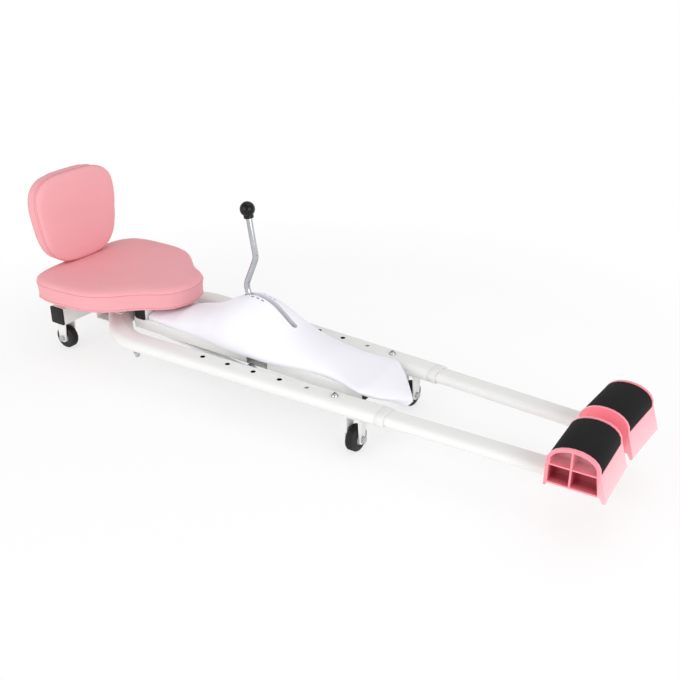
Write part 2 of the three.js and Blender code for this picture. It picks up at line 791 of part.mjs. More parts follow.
function addLeverBracket(parent) {
  const baseZ = rearTubeTop + seatGap;
  const inside = hubHalfWidth + seatGap;
  const plate = block(
    [leverX - baseBack, -railInnerY - railWidth + seatGap, baseZ],
    [leverX + baseFront, railInnerY + railWidth - seatGap, baseZ + basePlate]);
  const opening = block(
    [leverX - baseSlotBack, -inside, baseZ - overrun],
    [leverX + baseSlotFront, inside, baseZ + basePlate + overrun]);
  const ear = new THREE.Shape();
  ear.moveTo(leverX + earFoot, baseZ + basePlate / 2);
  ear.lineTo(leverX + earRadius, leverZ);
  ear.absarc(leverX, leverZ, earRadius, 0, Math.PI);
  ear.lineTo(leverX - earFoot, baseZ + basePlate / 2);
  ear.closePath();
  const ears = [alongY(ear, inside, inside + earThickness), alongY(ear, -inside - earThickness, -inside)];
  const reach = inside + earThickness + overrun;
  const bore = bar(leverPinDiameter + 2 * seatGap, [leverX, -reach, leverZ], [leverX, reach, leverZ]);
  named(parent, 'lever_bracket', cut(join(cut(plate, opening), ...ears), bore), 'zinc');

  const face = inside + earThickness + seatGap;
  const pin = join(
    bar(leverPinDiameter, [leverX, -face - pinHead, leverZ], [leverX, face + pinHead, leverZ]),
    bar(nutDiameter, [leverX, -face - pinHead, leverZ], [leverX, -face, leverZ]),
    bar(nutDiameter, [leverX, face, leverZ], [leverX, face + pinHead, leverZ]));
  named(parent, 'lever_pin', pin, 'zinc');
}

const leverArmEnd = [leverX + armLength * Math.sin(armAngle), leverZ - armLength * Math.cos(armAngle)];

function addLever(parent) {
  const corners = [
    new THREE.Vector3(leverX, 0, leverZ), new THREE.Vector3(leverLowX, 0, leverLowZ),
    new THREE.Vector3(leverHighX, 0, leverHighZ), new THREE.Vector3(leverKnobX, 0, leverKnobZ),
  ];
  const path = new StationPath(corners, leverBend, 4);
  const section = new THREE.Shape();
  section.absarc(0, 0, leverDiameter / 2, 0, Math.PI * 2);
  const rod = sweep(section, path, 7);

  // The arm is a fork below the hub that carries the drive pawl on a pin
  const armShape = new THREE.Shape();
  armShape.absarc(0, 0, hubRadius, 0, Math.PI);
  armShape.lineTo(-armRadius, -armLength);
  armShape.absarc(0, -armLength, armRadius, Math.PI, Math.PI * 2);
  armShape.closePath();
  const inside = pawlThickness / 2 + seatGap;
  const arms = [inside, -inside - armThickness].map((from) => alongY(armShape, from, from + armThickness, 4)
    .rotateY(-armAngle).translate(leverX, 0, leverZ));
  const hub = bar(2 * hubRadius, [leverX, -hubHalfWidth, leverZ], [leverX, hubHalfWidth, leverZ]);
  const [armX, armZ] = leverArmEnd;
  const reach = inside + armThickness;
  const pawlPin = bar(pawlPinDiameter, [armX, -reach, armZ], [armX, reach, armZ], 10);
  const bore = bar(
    leverPinDiameter + 2 * seatGap, [leverX, -hubHalfWidth - overrun, leverZ],
    [leverX, hubHalfWidth + overrun, leverZ]);
  named(parent, 'lever_rod', cut(join(rod, hub, ...arms, pawlPin), bore), 'chrome');

  const upward = new THREE.Vector3(leverKnobX - leverHighX, 0, leverKnobZ - leverHighZ).normalize();
  const ball = knobDiameter / 2;
  const boreRadius = leverDiameter / 2 + seatGap;
  const neckAngle = Math.asin(knobNeck / knobDiameter);
  const profile = [[0, seatGap], [boreRadius, seatGap], [boreRadius, -knobBoreDepth - knobNeckLength]];
  profile.push([knobNeck / 2, -knobBoreDepth - knobNeckLength]);
  const steps = 8;
  for (let step = 0; step <= steps; step += 1) {
    const angle = neckAngle + (Math.PI - neckAngle) * step / steps;
    profile.push([step === steps ? 0 : ball * Math.sin(angle), -ball * Math.cos(angle)]);
  }
  const knob = lathe(profile, 16);
  knob.applyQuaternion(new THREE.Quaternion().setFromUnitVectors(new THREE.Vector3(0, 1, 0), upward));
  named(parent, 'lever_knob', knob, 'knobBlack').position.set(leverKnobX, 0, leverKnobZ);
}

function addPawl(parent) {
  const [armX, armZ] = leverArmEnd;
  const tip = [armX + pawlReach * Math.sin(armAngle), armZ - pawlReach * Math.cos(armAngle)];
  const heading = armAngle - Math.PI / 2;
  const shape = new THREE.Shape();
  shape.absarc(armX, armZ, pawlEye, heading + Math.PI / 2, heading + Math.PI * 1.5);
  shape.lineTo(...tip);
  shape.closePath();
  const hole = new THREE.Path();
  hole.absarc(armX, armZ, pawlPinDiameter / 2 + seatGap, 0, Math.PI * 2);
  shape.holes.push(hole);
  named(parent, 'drive_pawl', alongY(shape, -pawlThickness / 2, pawlThickness / 2), 'zinc');
}

// Ratchet slide: a cross plate between the rails and a toothed bar under the lever
function addCarriage(parent) {
  const plate = block(
    [carriageBackX, -railInnerY + seatGap, slideBarBottom],
    [carriageFrontX, railInnerY - seatGap, slideBarBottom + carriageHeight]);
  const top = slideBarBottom + slideBarHeight;
  const points = [
    [carriageFrontX - overrun, slideBarBottom], [slideBarFrontX, slideBarBottom], [slideBarFrontX, top],
  ];
  for (let tooth = 0; tooth < toothCount; tooth += 1) {
    const x = slideBarFrontX - toothPitch * (tooth + 1);
    points.push([x, top], [x, top - toothHeight]);
  }
  points.push([slideBarFrontX - toothPitch * (toothCount + 1), top], [carriageFrontX - overrun, top]);
  const toothed = alongY(polygon(points), -slideBarWidth / 2, slideBarWidth / 2);
  named(parent, 'ratchet_slide', join(plate, toothed), 'zinc');
}

// Legs. In a leg's own frame the origin is its pivot, X runs along the straight part of the tube,
// and the tube lies to the outside, at the sign of its side.

function legPath(sign) {
  const cornerX = legOffset / Math.tan(bendAngle);
  const z = legCentreHeight;
  return new StationPath([
    new THREE.Vector3(-legTail * Math.cos(bendAngle), -sign * legTail * Math.sin(bendAngle), z),
    new THREE.Vector3(cornerX, sign * legOffset, z),
    new THREE.Vector3(legReach, sign * legOffset, z),
  ], bendRadius, 6);
}

function legTubeGeometry(sign) {
  const section = flatOval(legWidth, legHeight);
  section.holes.push(flatOval(legWidth - 2 * legWall, legHeight - 2 * legWall));
  const tube = sweep(section, legPath(sign), 4);
  const bush = bar(bushDiameter, [0, 0, legBottom], [0, 0, legTop]);
  const bore = bar(pivotBoltDiameter + 2 * seatGap, [0, 0, legBottom - overrun], [0, 0, legTop + overrun]);
  const topHoles = [];
  for (let k = 0; k <= holeCount; k += 1) {
    const x = clampReach - k * holePitch;
    const y = sign * legOffset;
    const diameter = k === 0 ? clampShankDiameter + 2 * seatGap : holeDiameter;
    topHoles.push(bar(diameter, [x, y, legCentreHeight], [x, y, legTop + overrun], 10));
  }
  return cut(join(tube, bush), bore, ...topHoles);
}

function collarGeometry() {
  const inside = (size) => size - 2 * (legWall + seatGap);
  const sleeve = sectionAlongX(
    flatOval(inside(legWidth), inside(legHeight)), -collarDepth, collarFlange / 2);
  const flange = sectionAlongX(flatOval(legWidth, legHeight), seatGap, collarFlange);
  const opening = flatOval(slideWidth + 2 * seatGap, slideHeight + 2 * seatGap);
  const mouth = sectionAlongX(opening, -collarDepth - overrun, collarFlange + overrun);
  return cut(join(sleeve, flange), mouth);
}

// A flat oval lies down when its long side goes from the shape's second axis to Y
function sectionAlongX(shape, from, to) {
  return alongX(shape, from, to, 4).rotateX(Math.PI / 2);
}

function addLeg(parent, side, sign) {
  const leg = new THREE.Group();
  leg.position.set(pivotX, sign * pivotY, 0);
  leg.rotation.z = -sign * toeIn;
  parent.add(leg);
  named(leg, `leg_tube_${side}`, legTubeGeometry(sign), 'frameWhite');
  named(leg, `leg_collar_${side}`, collarGeometry(), 'coverWhite')
    .position.set(legReach, sign * legOffset, legCentreHeight);

  // The clamp bolt's shank ends inside the wall, so it never reaches the extension
  const profile = [[0, -legWall], [clampShankDiameter / 2, -legWall], [clampShankDiameter / 2, seatGap]];
  const steps = 4;
  for (let step = 0; step <= steps; step += 1) {
    const angle = Math.PI / 2 * step / steps;
    const radius = step === steps ? 0 : clampHeadDiameter / 2 * Math.cos(angle);
    profile.push([radius, seatGap + clampHeadHeight * Math.sin(angle)]);
  }
  named(leg, `clamp_bolt_${side}`, lathe(profile, 14).rotateX(Math.PI / 2), 'chrome')
    .position.set(clampReach, sign * legOffset, legTop);

  addCaster(leg, side, 'front', legReach - frontCasterInset, sign * legOffset, legBottom, 0);
  addLink(leg, side, sign);
  addExtension(leg, side, sign);
}

// Link plate welded inside the leg, with its bolt and the bar that runs back to the ratchet slide
function addLink(leg, side, sign) {
  const toLeg = (x, y) => new THREE.Vector2(x - pivotX, y - sign * pivotY).rotateAround(
    new THREE.Vector2(), sign * toeIn);
  const bolt = toLeg(linkX, sign * linkY);
  const pin = toLeg(linkPinX, sign * linkPinY);
  const plateBottom = linkHeight + linkThickness + seatGap;
  const plateTop = plateBottom + linkPlateThickness;
  const lift = legCentreHeight - plateTop;
  const roundSide = Math.sqrt((legHeight / 2) ** 2 - lift ** 2);
  const tubeSide = legOffset - (legWidth - legHeight) / 2 - roundSide - seatGap;

  const plate = polygon([
    [bolt.x - linkPlateBack, sign * tubeSide], [bolt.x + linkPlateFront, sign * tubeSide],
    [bolt.x + linkPlateNose, bolt.y - sign * linkPlateNose / 2], [bolt.x, bolt.y - sign * linkPlateNose],
    [bolt.x - linkPlateNose, bolt.y - sign * linkPlateNose / 2],
  ]);
  const bore = bar(
    linkBoltDiameter + 2 * seatGap,
    [bolt.x, bolt.y, linkHeight - overrun], [bolt.x, bolt.y, plateTop + overrun]);
  named(leg, `link_plate_${side}`, cut(alongZ(plate, plateBottom, plateTop), bore), 'frameWhite');

  const bottom = linkHeight - seatGap;
  const top = plateTop + seatGap;
  const boltBody = join(
    bar(linkBoltDiameter, [0, 0, bottom - nutHeight], [0, 0, top + nutHeight]),
    bar(nutDiameter, [0, 0, bottom - nutHeight], [0, 0, bottom], 6),
    bar(nutDiameter, [0, 0, top], [0, 0, top + nutHeight], 6));
  named(leg, `link_bolt_${side}`, boltBody, 'zinc').position.set(bolt.x, bolt.y, 0);

  const run = pin.clone().sub(bolt);
  const shape = new THREE.Shape();
  const length = run.length();
  shape.absarc(0, 0, linkWidth / 2, Math.PI / 2, Math.PI * 1.5);
  shape.absarc(length, 0, linkWidth / 2, -Math.PI / 2, Math.PI / 2);
  for (const x of [0, length]) {
    const hole = new THREE.Path();
    hole.absarc(x, 0, linkBoltDiameter / 2 + seatGap, 0, Math.PI * 2);
    shape.holes.push(hole);
  }
  const link = named(leg, `link_bar_${side}`, alongZ(shape, 0, linkThickness), 'zinc');
  link.position.set(bolt.x, bolt.y, linkHeight);
  link.rotation.z = run.angle();
}

// Extensions with snap buttons and calf rests, drawn fully out

function restOutline() {
  // From the foot of the back wall over the top to the foot of the front wall
  const width = restBack + restFront;
  const side = restShoulder - restFloor;
  const arch = restTop - restShoulder;
  const points = [[-restBack, restFloor], [-restBack, restFloor + restBackShare * side]];
  const steps = 12;
  for (let step = 1; step < steps; step += 1) {
    const angle = Math.PI * (1 - step / steps);
    points.push([
      (restFront - restBack) / 2 + width / 2 * Math.cos(angle),
      restShoulder + arch * Math.sin(angle) ** restSquareShare,
    ]);
  }
  points.push([restFront, restFloor + side]);
  points.push([restFront + restFlareShare * restSkirt, restFloor + restKneeShare * side]);
  points.push([restFront + restSkirt, restFloor - lipDrop / 2]);
  return points.map(([x, y]) => new THREE.Vector2(x, y));
}

// The outline moved inwards by a distance, point by point
function inset(points, distance) {
  return points.map((point, k) => {
    const before = points[Math.max(k - 1, 0)];
    const after = points[Math.min(k + 1, points.length - 1)];
    const along = after.clone().sub(before).normalize();
    return new THREE.Vector2(point.x + along.y * distance, point.y - along.x * distance);
  });
}

function restShellGeometry(sign) {
  const inward = -sign * restInward;
  const outline = restOutline();
  const half = restWidth / 2;
  const last = outline[outline.length - 1];
  const lip = [
    [last.x - restLipTip, restFloor - lipDrop], [last.x - restWall, restFloor - lipDrop],
    [last.x - restWall - restFlareShare * restSkirt, restFloor], [-restBack + restEdge, restFloor],
    [-restBack + restEdge, restFloor - lipBackDrop], [-restBack, restFloor - lipBackDrop],
  ].map(([x, y]) => new THREE.Vector2(x, y));
  const body = alongY(new THREE.Shape([...outline, ...lip]), inward - half, inward + half);

  // Socket round the end of the extension tube
  const socketHalf = slideWidth / 2 + seatGap + socketWall;
  const socketLow = legCentreHeight - slideHeight / 2 - seatGap - socketWall;
  const socket = block(
    [-restBack + restEdge + seatGap, -socketHalf, socketLow],
    [restFront - restWall, socketHalf, restFloor + restFloorWall]);
  const mouth = flatOval(slideWidth + 2 * seatGap, slideHeight + 2 * seatGap);
  const bore = sectionAlongX(mouth, -restBack - overrun, restFront - 2 * restWall)
    .translate(0, 0, legCentreHeight);

  // Four pockets in the outer end, as deep as the socket lets them be: two above the shelf, two below
  // it. The inner end is a wall, and behind it the rest is hollow and open downwards.
  const web = socketHalf + seatGap;
  const ceiling = inset(outline, restWall);
  const floor = restFloor + restFloorWall;
  const shelf = restFloor + shelfHeight;
  const under = restFloor - lipDrop - overrun;
  const hollowTop = shelf + shelfWall + overrun;
  const upper = [];
  const lower = [];
  const hollow = [];
  for (const sideSign of [-1, 1]) {
    const ribX = sideSign * restRib / 2;
    const arc = ceiling.filter((point) => sideSign * point.x > restRib / 2 && point.y > shelf + shelfWall);
    const top = ceiling.reduce((best, point) => (Math.abs(point.x) < Math.abs(best.x) ? point : best));
    const ends = [
      new THREE.Vector2(ribX, top.y),
      new THREE.Vector2(ribX, shelf + shelfWall),
      new THREE.Vector2(sideSign < 0 ? arc[0].x : arc[arc.length - 1].x, shelf + shelfWall),
    ];
    upper.push(new THREE.Shape(sideSign < 0 ? [...arc, ...ends] : [ends[0], ...arc, ends[2], ends[1]]));
    const wallX = sideSign < 0 ? -restBack + restWall : restFront - restWall;
    const spread = sideSign < 0 ? 0 : restFlareShare * restSkirt - seatGap;
    lower.push(polygon([[ribX, floor], [wallX + spread, floor], [wallX, shelf], [ribX, shelf]]));
    hollow.push(polygon([[ribX, under], [wallX, under], [wallX, hollowTop], [ribX, hollowTop]]));
  }
  const across = (shape, from, to) => alongY(
    shape, Math.min(sign * from, sign * to), Math.max(sign * from, sign * to));
  const innerEnd = half + restInward - restEndWall;
  const pockets = [
    ...[...upper, ...lower].map((shape) => across(shape, web, half - restInward + overrun)),
    ...[...upper, ...hollow].map((shape) => across(shape, -innerEnd, -web)),
  ];
  const band = padBandGeometry(inward, -overrun, padThickness + seatGap, seatGap);
  return cut(join(body, socket), bore, band, ...pockets);
}

// The band between the rims where the pad lies, from one depth under the outline to another
function padBandGeometry(inward, outerDepth, innerDepth, endGap) {
  const outline = restOutline();
  const band = outline.slice(1, -2);
  band[0] = new THREE.Vector2(band[0].x, band[0].y - endGap);
  const high = inset(band, outerDepth);
  const low = inset(band, innerDepth);
  const half = restWidth / 2 - rimWidth + endGap;
  return alongY(new THREE.Shape([...high, ...low.reverse()]), inward - half, inward + half);
}

function addExtension(leg, side, sign) {
  const extension = new THREE.Group();
  extension.position.set(clampReach, sign * legOffset, 0);
  leg.add(extension);
  const slideFront = restReach + restFront - 2 * restWall - seatGap;
  const slideBack = clampInset - slideOverlap;
  const buttonX = -holePitch;
  const section = flatOval(slideWidth, slideHeight);
  section.holes.push(flatOval(slideWidth - 2 * slideWall, slideHeight - 2 * slideWall));
  const tube = sectionAlongX(section, slideBack, slideFront).translate(0, 0, legCentreHeight);
  const hole = bar(
    buttonDiameter + 2 * seatGap, [buttonX, 0, legCentreHeight], [buttonX, 0, legTop], 12);
  named(extension, `extension_tube_${side}`, cut(tube, hole), 'frameWhite');

  // The button's head stands below the wall of the leg, so that the extension can slide past it
  const wallUnder = legCentreHeight + slideHeight / 2 - slideWall - seatGap;
  const buttonTop = legTop - legWall - seatGap;
  named(extension, `snap_button_${side}`, join(
    bar(buttonDiameter, [buttonX, 0, buttonTop - buttonHeight], [buttonX, 0, buttonTop], 12),
    bar(buttonFlange, [buttonX, 0, wallUnder - buttonFlangeHeight], [buttonX, 0, wallUnder], 12)), 'zinc');

  const rest = new THREE.Group();
  rest.position.x = restReach;
  extension.add(rest);
  const inward = -sign * restInward;
  named(rest, `calf_rest_${side}`, restShellGeometry(sign), 'restPink');
  named(rest, `calf_pad_${side}`, padBandGeometry(inward, padSink, padThickness, 0), 'padBlack');
}

const machine = new THREE.Group();
const assembly = new THREE.Group();
machine.add(assembly);
addFrame(assembly);
addPivotBracket(assembly);
addSeat(assembly);
addBackrest(assembly);
addCover(assembly);
addLeverBracket(assembly);
addLever(assembly);
addPawl(assembly);
addCarriage(assembly);
for (const [side, sign] of Object.entries(sides)) {
  addLeg(assembly, side, sign);
}

// The origin is the middle of the footprint, on the floor
machine.updateMatrixWorld(true);
const footprint = new THREE.Box3().setFromObject(assembly, true);
assembly.position.x = -(footprint.min.x + footprint.max.x) / 2;

export default machine;
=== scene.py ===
# Looks of the leg stretching machine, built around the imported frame. Metres, apart from what says mm.

import json
import math
from contextlib import contextmanager

import bmesh
import bpy
import numpy as np
from mathutils import Matrix, Vector


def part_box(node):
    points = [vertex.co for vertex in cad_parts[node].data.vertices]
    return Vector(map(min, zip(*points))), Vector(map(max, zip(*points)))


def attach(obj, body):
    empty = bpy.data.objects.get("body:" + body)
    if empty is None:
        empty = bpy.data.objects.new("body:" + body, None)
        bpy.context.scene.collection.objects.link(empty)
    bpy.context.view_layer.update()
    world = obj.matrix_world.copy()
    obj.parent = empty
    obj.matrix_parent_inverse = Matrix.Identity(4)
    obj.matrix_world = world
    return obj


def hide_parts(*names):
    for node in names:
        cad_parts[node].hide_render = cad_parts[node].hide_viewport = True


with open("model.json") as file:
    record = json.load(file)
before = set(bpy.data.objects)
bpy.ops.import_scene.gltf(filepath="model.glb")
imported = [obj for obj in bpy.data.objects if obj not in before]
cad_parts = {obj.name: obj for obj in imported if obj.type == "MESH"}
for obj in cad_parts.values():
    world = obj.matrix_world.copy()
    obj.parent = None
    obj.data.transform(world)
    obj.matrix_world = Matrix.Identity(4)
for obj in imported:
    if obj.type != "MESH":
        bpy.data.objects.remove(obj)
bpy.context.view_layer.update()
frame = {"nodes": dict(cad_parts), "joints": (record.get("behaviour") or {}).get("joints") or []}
nodes = frame["nodes"]
mm = 0.001
sides = {"left": 1, "right": -1}

# lengthwise places are given in mm from the clamp bolts, as the part's own sizes are
leverPlace = -248 * mm
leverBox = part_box("lever_pin")
stationShift = (leverBox[0].x + leverBox[1].x) / 2 - leverPlace


def station(value):
    return value * mm + stationShift


# Camera at the photograph's angle

cameraView = {
    "target": (station(-121), 0.0973, 0.096),
    "azimuth": 33.77,
    "elevation": 26.04,
    "distance": 1.8895,
    "focalPixels": 938.4,
    "imagePixels": 680,
    "sensor": 36.0,
}


def addCamera(view):
    azimuth = math.radians(view["azimuth"])
    elevation = math.radians(view["elevation"])
    back = Vector((
        math.sin(azimuth) * math.cos(elevation),
        -math.cos(azimuth) * math.cos(elevation),
        math.sin(elevation),
    ))
    bpy.ops.object.camera_add(location=Vector(view["target"]) + back * view["distance"])
    camera = bpy.context.object
    camera.rotation_euler = back.to_track_quat("Z", "Y").to_euler()
    camera.data.sensor_width = view["sensor"]
    camera.data.lens = view["sensor"] * view["focalPixels"] / view["imagePixels"]
    bpy.context.scene.camera = camera
    bpy.context.scene.view_settings.view_transform = "Standard"


# Finishes: shader sums are written as plain expressions on wires

class Wire:
    def __init__(self, finish, socket):
        self.finish = finish
        self.socket = socket

    def sum(self, operation, first, second=0.0):
        return self.finish.sum(operation, first, second)

    def __add__(self, other):
        return self.sum("ADD", self, other)

    def __sub__(self, other):
        return self.sum("SUBTRACT", self, other)

    def __rsub__(self, other):
        return self.sum("SUBTRACT", other, self)

    def __mul__(self, other):
        return self.sum("MULTIPLY", self, other)

    def __gt__(self, other):
        return self.sum("GREATER_THAN", self, other)

    def __lt__(self, other):
        return self.sum("LESS_THAN", self, other)

    def __abs__(self):
        return self.sum("ABSOLUTE", self)

    __radd__ = __add__
    __rmul__ = __mul__


# A colour code read as linear light, by the usual curve for screens
def paint(code):
    parts = [int(code[k:k + 2], 16) / 255 for k in (0, 2, 4)]
    return tuple(
        part / 12.92 if part <= 0.04045 else ((part + 0.055) / 1.055) ** 2.4 for part in parts
    ) + (1.0,)


class Wiring:
    def __init__(self, tree):
        self.tree = tree

    def node(self, kind, settings, sockets, output=0):
        made = self.tree.nodes.new(kind)
        for key, value in settings.items():
            setattr(made, key, value)
        for key, value in sockets.items():
            self.join(made.inputs[key], value)
        return Wire(self, made.outputs[output])

    def join(self, socket, value):
        if isinstance(value, Wire):
            self.tree.links.new(value.socket, socket)
        else:
            socket.default_value = value

    def sum(self, operation, first, second=0.0):
        return self.node("ShaderNodeMath", {"operation": operation}, {0: first, 1: second})

    # A value between two ends, turned into its like between two results and held at them
    def ranged(self, value, ends, results):
        return self.node("ShaderNodeMapRange", {}, {
            "Value": value, "From Min": ends[0], "From Max": ends[1],
            "To Min": results[0], "To Max": results[1]})


class Finish(Wiring):
    def __init__(self, name, sockets):
        self.material = bpy.data.materials.new(name)
        self.material.use_nodes = True
        super().__init__(self.material.node_tree)
        self.shader = self.tree.nodes["Principled BSDF"]
        self.place = self.node("ShaderNodeTexCoord", {}, {}, "Object")
        for socket, value in sockets.items():
            self.feed(socket, value)

    def feed(self, socket, value):
        self.join(self.shader.inputs[socket], value)

    def noise(self, scale, detail=2, share=1.0):
        return share * self.node("ShaderNodeTexNoise", {}, {
            "Vector": self.place, "Scale": scale, "Detail": detail})

    def cells(self, scale):
        return self.node("ShaderNodeTexVoronoi", {}, {"Vector": self.place, "Scale": scale}, "Distance")

    def brushed(self, scale, detail):
        turned = self.node("ShaderNodeMapping", {}, {"Vector": self.place, "Scale": scale})
        return self.node("ShaderNodeTexNoise", {}, {"Vector": turned, "Detail": detail})

    def between(self, share, low, high):
        return self.node("ShaderNodeMix", {"data_type": "RGBA"}, {0: share, 6: low, 7: high}, 2)

    def bump(self, height, strength, depth):
        self.feed("Normal", self.node("ShaderNodeBump", {}, {
            "Height": height, "Strength": strength, "Distance": depth}, "Normal"))

    # The place on the piece as three wires: along, across and height
    def split(self):
        parts = self.node("ShaderNodeSeparateXYZ", {}, {0: self.place}).socket.node
        return [Wire(self, socket) for socket in parts.outputs]


# Most finishes: two tones mixed by clouds, a roughness that wanders, and a grain. What lies over the
# tones, such as ink, painted shade or a painted highlight, is a function of the finish and the colour so
# far.
def surface(name, tone, shade, look, over=None):
    finish = Finish(name, look["sockets"])
    colour = finish.between(finish.noise(**look["clouds"]), paint(tone), paint(shade))
    finish.feed("Base Color", over(finish, colour) if over else colour)
    finish.feed("Roughness", look["roughness"] + finish.noise(**look["wander"]))
    if "grain" in look:
        finish.bump(finish.noise(**look["grain"]), look["strength"], look["depth"])
    return finish.material


def plastic(name, tone, shade, roughness, grain=420, strength=0.1, coat=0.0, shine=0.5, over=None):
    return surface(name, tone, shade, {
        "sockets": {"Coat Weight": coat, "Coat Roughness": 0.12, "Specular IOR Level": shine},
        "clouds": {"scale": 14, "share": 0.8},
        "roughness": roughness, "wander": {"scale": 70, "share": 0.1},
        "grain": {"scale": grain}, "strength": strength, "depth": 0.3 * mm,
    }, over)


leatherLook = {
    "clouds": {"scale": 9, "detail": 3, "share": 0.7},
    "roughness": 0.5, "wander": {"scale": 140, "share": 0.16},
    "cells": 950, "creases": {"scale": 620, "detail": 3, "share": 0.6}, "grainShare": 0.12,
    "strength": 0.22, "depth": 0.5 * mm,
}


def leatherette(name, tone, shade, look=leatherLook):
    finish = Finish(name, {"Specular IOR Level": 0.4})
    grain = finish.cells(look["cells"]) + finish.noise(**look["creases"])
    mix = finish.noise(**look["clouds"]) + grain * look["grainShare"]
    finish.feed("Base Color", finish.between(mix, paint(tone), paint(shade)))
    finish.feed("Roughness", look["roughness"] + finish.noise(**look["wander"]))
    finish.bump(grain, look["strength"], look["depth"])
    return finish.material


zincLook = {
    "spangle": 160, "spangleShare": 0.9, "brush": (40, 900, 900), "brushDetail": 2,
    "roughness": 0.26, "wanderShare": 0.2, "strength": 0.08, "depth": 0.2 * mm,
}


def zincPlate(name, tone, shade, look=zincLook):
    finish = Finish(name, {"Metallic": 0.9})
    brushed = finish.brushed(look["brush"], look["brushDetail"])
    spangle = finish.cells(look["spangle"]) * look["spangleShare"]
    finish.feed("Base Color", finish.between(spangle, paint(tone), paint(shade)))
    finish.feed("Roughness", look["roughness"] + look["wanderShare"] * brushed)
    finish.bump(brushed, look["strength"], look["depth"])
    return finish.material


foamLook = {
    "clouds": {"scale": 20, "share": 0.4},
    "roughness": 0.72, "wander": {"scale": 300, "share": 0.2},
    "cells": 1300, "pores": {"scale": 800, "share": 0.5}, "poreShare": 0.6,
    "strength": 0.35, "depth": 0.4 * mm,
}


def foam(name, tone, shade, look=foamLook):
    finish = Finish(name, {"Specular IOR Level": 0.25})
    pores = finish.cells(look["cells"]) + finish.noise(**look["pores"])
    mix = pores * look["poreShare"] + finish.noise(**look["clouds"])
    finish.feed("Base Color", finish.between(mix, paint(tone), paint(shade)))
    finish.feed("Roughness", look["roughness"] + finish.noise(**look["wander"]))
    finish.bump(pores, look["strength"], look["depth"])
    return finish.material


powderLook = {
    "sockets": {"Coat Weight": 0.25, "Coat Roughness": 0.2}, "clouds": {"scale": 12, "share": 0.7},
    "roughness": 0.34, "wander": {"scale": 90, "share": 0.12},
    "grain": {"scale": 480, "detail": 3}, "strength": 0.12, "depth": 0.3 * mm,
}
coverLook = {
    "sockets": {"Coat Weight": 0.12, "Coat Roughness": 0.25}, "clouds": {"scale": 10, "share": 0.6},
    "roughness": 0.36, "wander": {"scale": 60, "share": 0.1},
    "grain": {"scale": 900}, "strength": 0.06, "depth": 0.2 * mm,
}
chromeLook = {
    "sockets": {"Metallic": 1.0}, "clouds": {"scale": 30, "share": 0.8},
    "roughness": 0.07, "wander": {"scale": 160, "detail": 3, "share": 0.08},
}
treadLook = {
    "sockets": {"Specular IOR Level": 0.4}, "clouds": {"scale": 60, "detail": 3},
    "roughness": 0.5, "wander": {"scale": 150, "share": 0.25},
    "grain": {"scale": 700, "detail": 3}, "strength": 0.25, "depth": 0.3 * mm,
}

# The ticks beside the lever's slot, by side: their places lengthwise, and the row that they stand in
marksMake = {
    "places": {-1: (-253, -240, -229), 1: (-252, -241, -227, -217)},
    "row": 11.6 * mm, "half": 1.1 * mm, "length": 3.1 * mm, "above": 0.15, "colour": "5A5A60",
}


def marked(finish, colour):
    along, across, height = finish.split()
    ink = 0.0
    for side, places in marksMake["places"].items():
        row = abs(across * side - marksMake["row"]) < marksMake["half"]
        for place in places:
            ink = row * (abs(along - station(place)) < marksMake["length"]) + ink
    return finish.between(ink * (height > marksMake["above"]), colour, paint(marksMake["colour"]))


# A closed leg in mm: its pivot, the line and the height of its tube, its holes from the pivot on, and the
# near-black tone of the painted shade inside the tube and its holes
legMake = {
    "pivot": (-606, 36), "toeIn": 2.71, "offset": 93, "height": 85.2, "flat": 12.5, "inner": 11.25,
    "straight": 140, "holes": (302.3, 362.3, 422.3, 482.3), "holeRadius": 5.1, "insideShade": "0A0A0A",
}


# Places in a closed leg's own frame: along it from its pivot, sideways from its middle line, and height
def legPlaces(finish):
    along, across, height = finish.split()
    turn = math.radians(legMake["toeIn"])
    ahead = along - station(legMake["pivot"][0])
    aside = abs(across) - legMake["pivot"][1] * mm
    reach = ahead * math.cos(turn) - aside * math.sin(turn)
    return reach, ahead * math.sin(turn) + aside * math.cos(turn) - legMake["offset"] * mm, height


# Painted shade: the inside of a leg tube, past its bend, and its holes are coloured near black, standing in
# for the shade in the tube's hollow
def paintedShadeInside(finish, colour):
    reach, offset, height = legPlaces(finish)
    side = finish.sum("MAXIMUM", abs(offset) - legMake["flat"] * mm)
    drop = height - legMake["height"] * mm
    near = (side * side + drop * drop) < (legMake["inner"] * mm) ** 2
    dark = near * (reach > legMake["straight"] * mm)
    for place in legMake["holes"]:
        away = reach - place * mm
        hole = (away * away + offset * offset) < (legMake["holeRadius"] * mm) ** 2
        dark = dark + hole * (drop > 0.0)
    return finish.between(finish.sum("MINIMUM", dark, 1.0), colour, paint(legMake["insideShade"]))


# A calf rest in mm: its form in the leg's frame, the depth of its pockets, and the tones of its painted
# shade and painted highlights
restMake = {
    "middle": 1054.7, "half": 40.9, "shoulder": 128, "arch": 29.5, "shelf": 125,
    "deep": 36.0, "mouth": 52.0,
    "upperPocketLightTone": "EBAFB6", "lowerPocketShadeTone": "B03545",
    "wallFrom": 1.02, "wallLow": 82, "wallHigh": 136, "wallSheenShare": 0.45, "wallSheenTone": "FFDDE2",
}


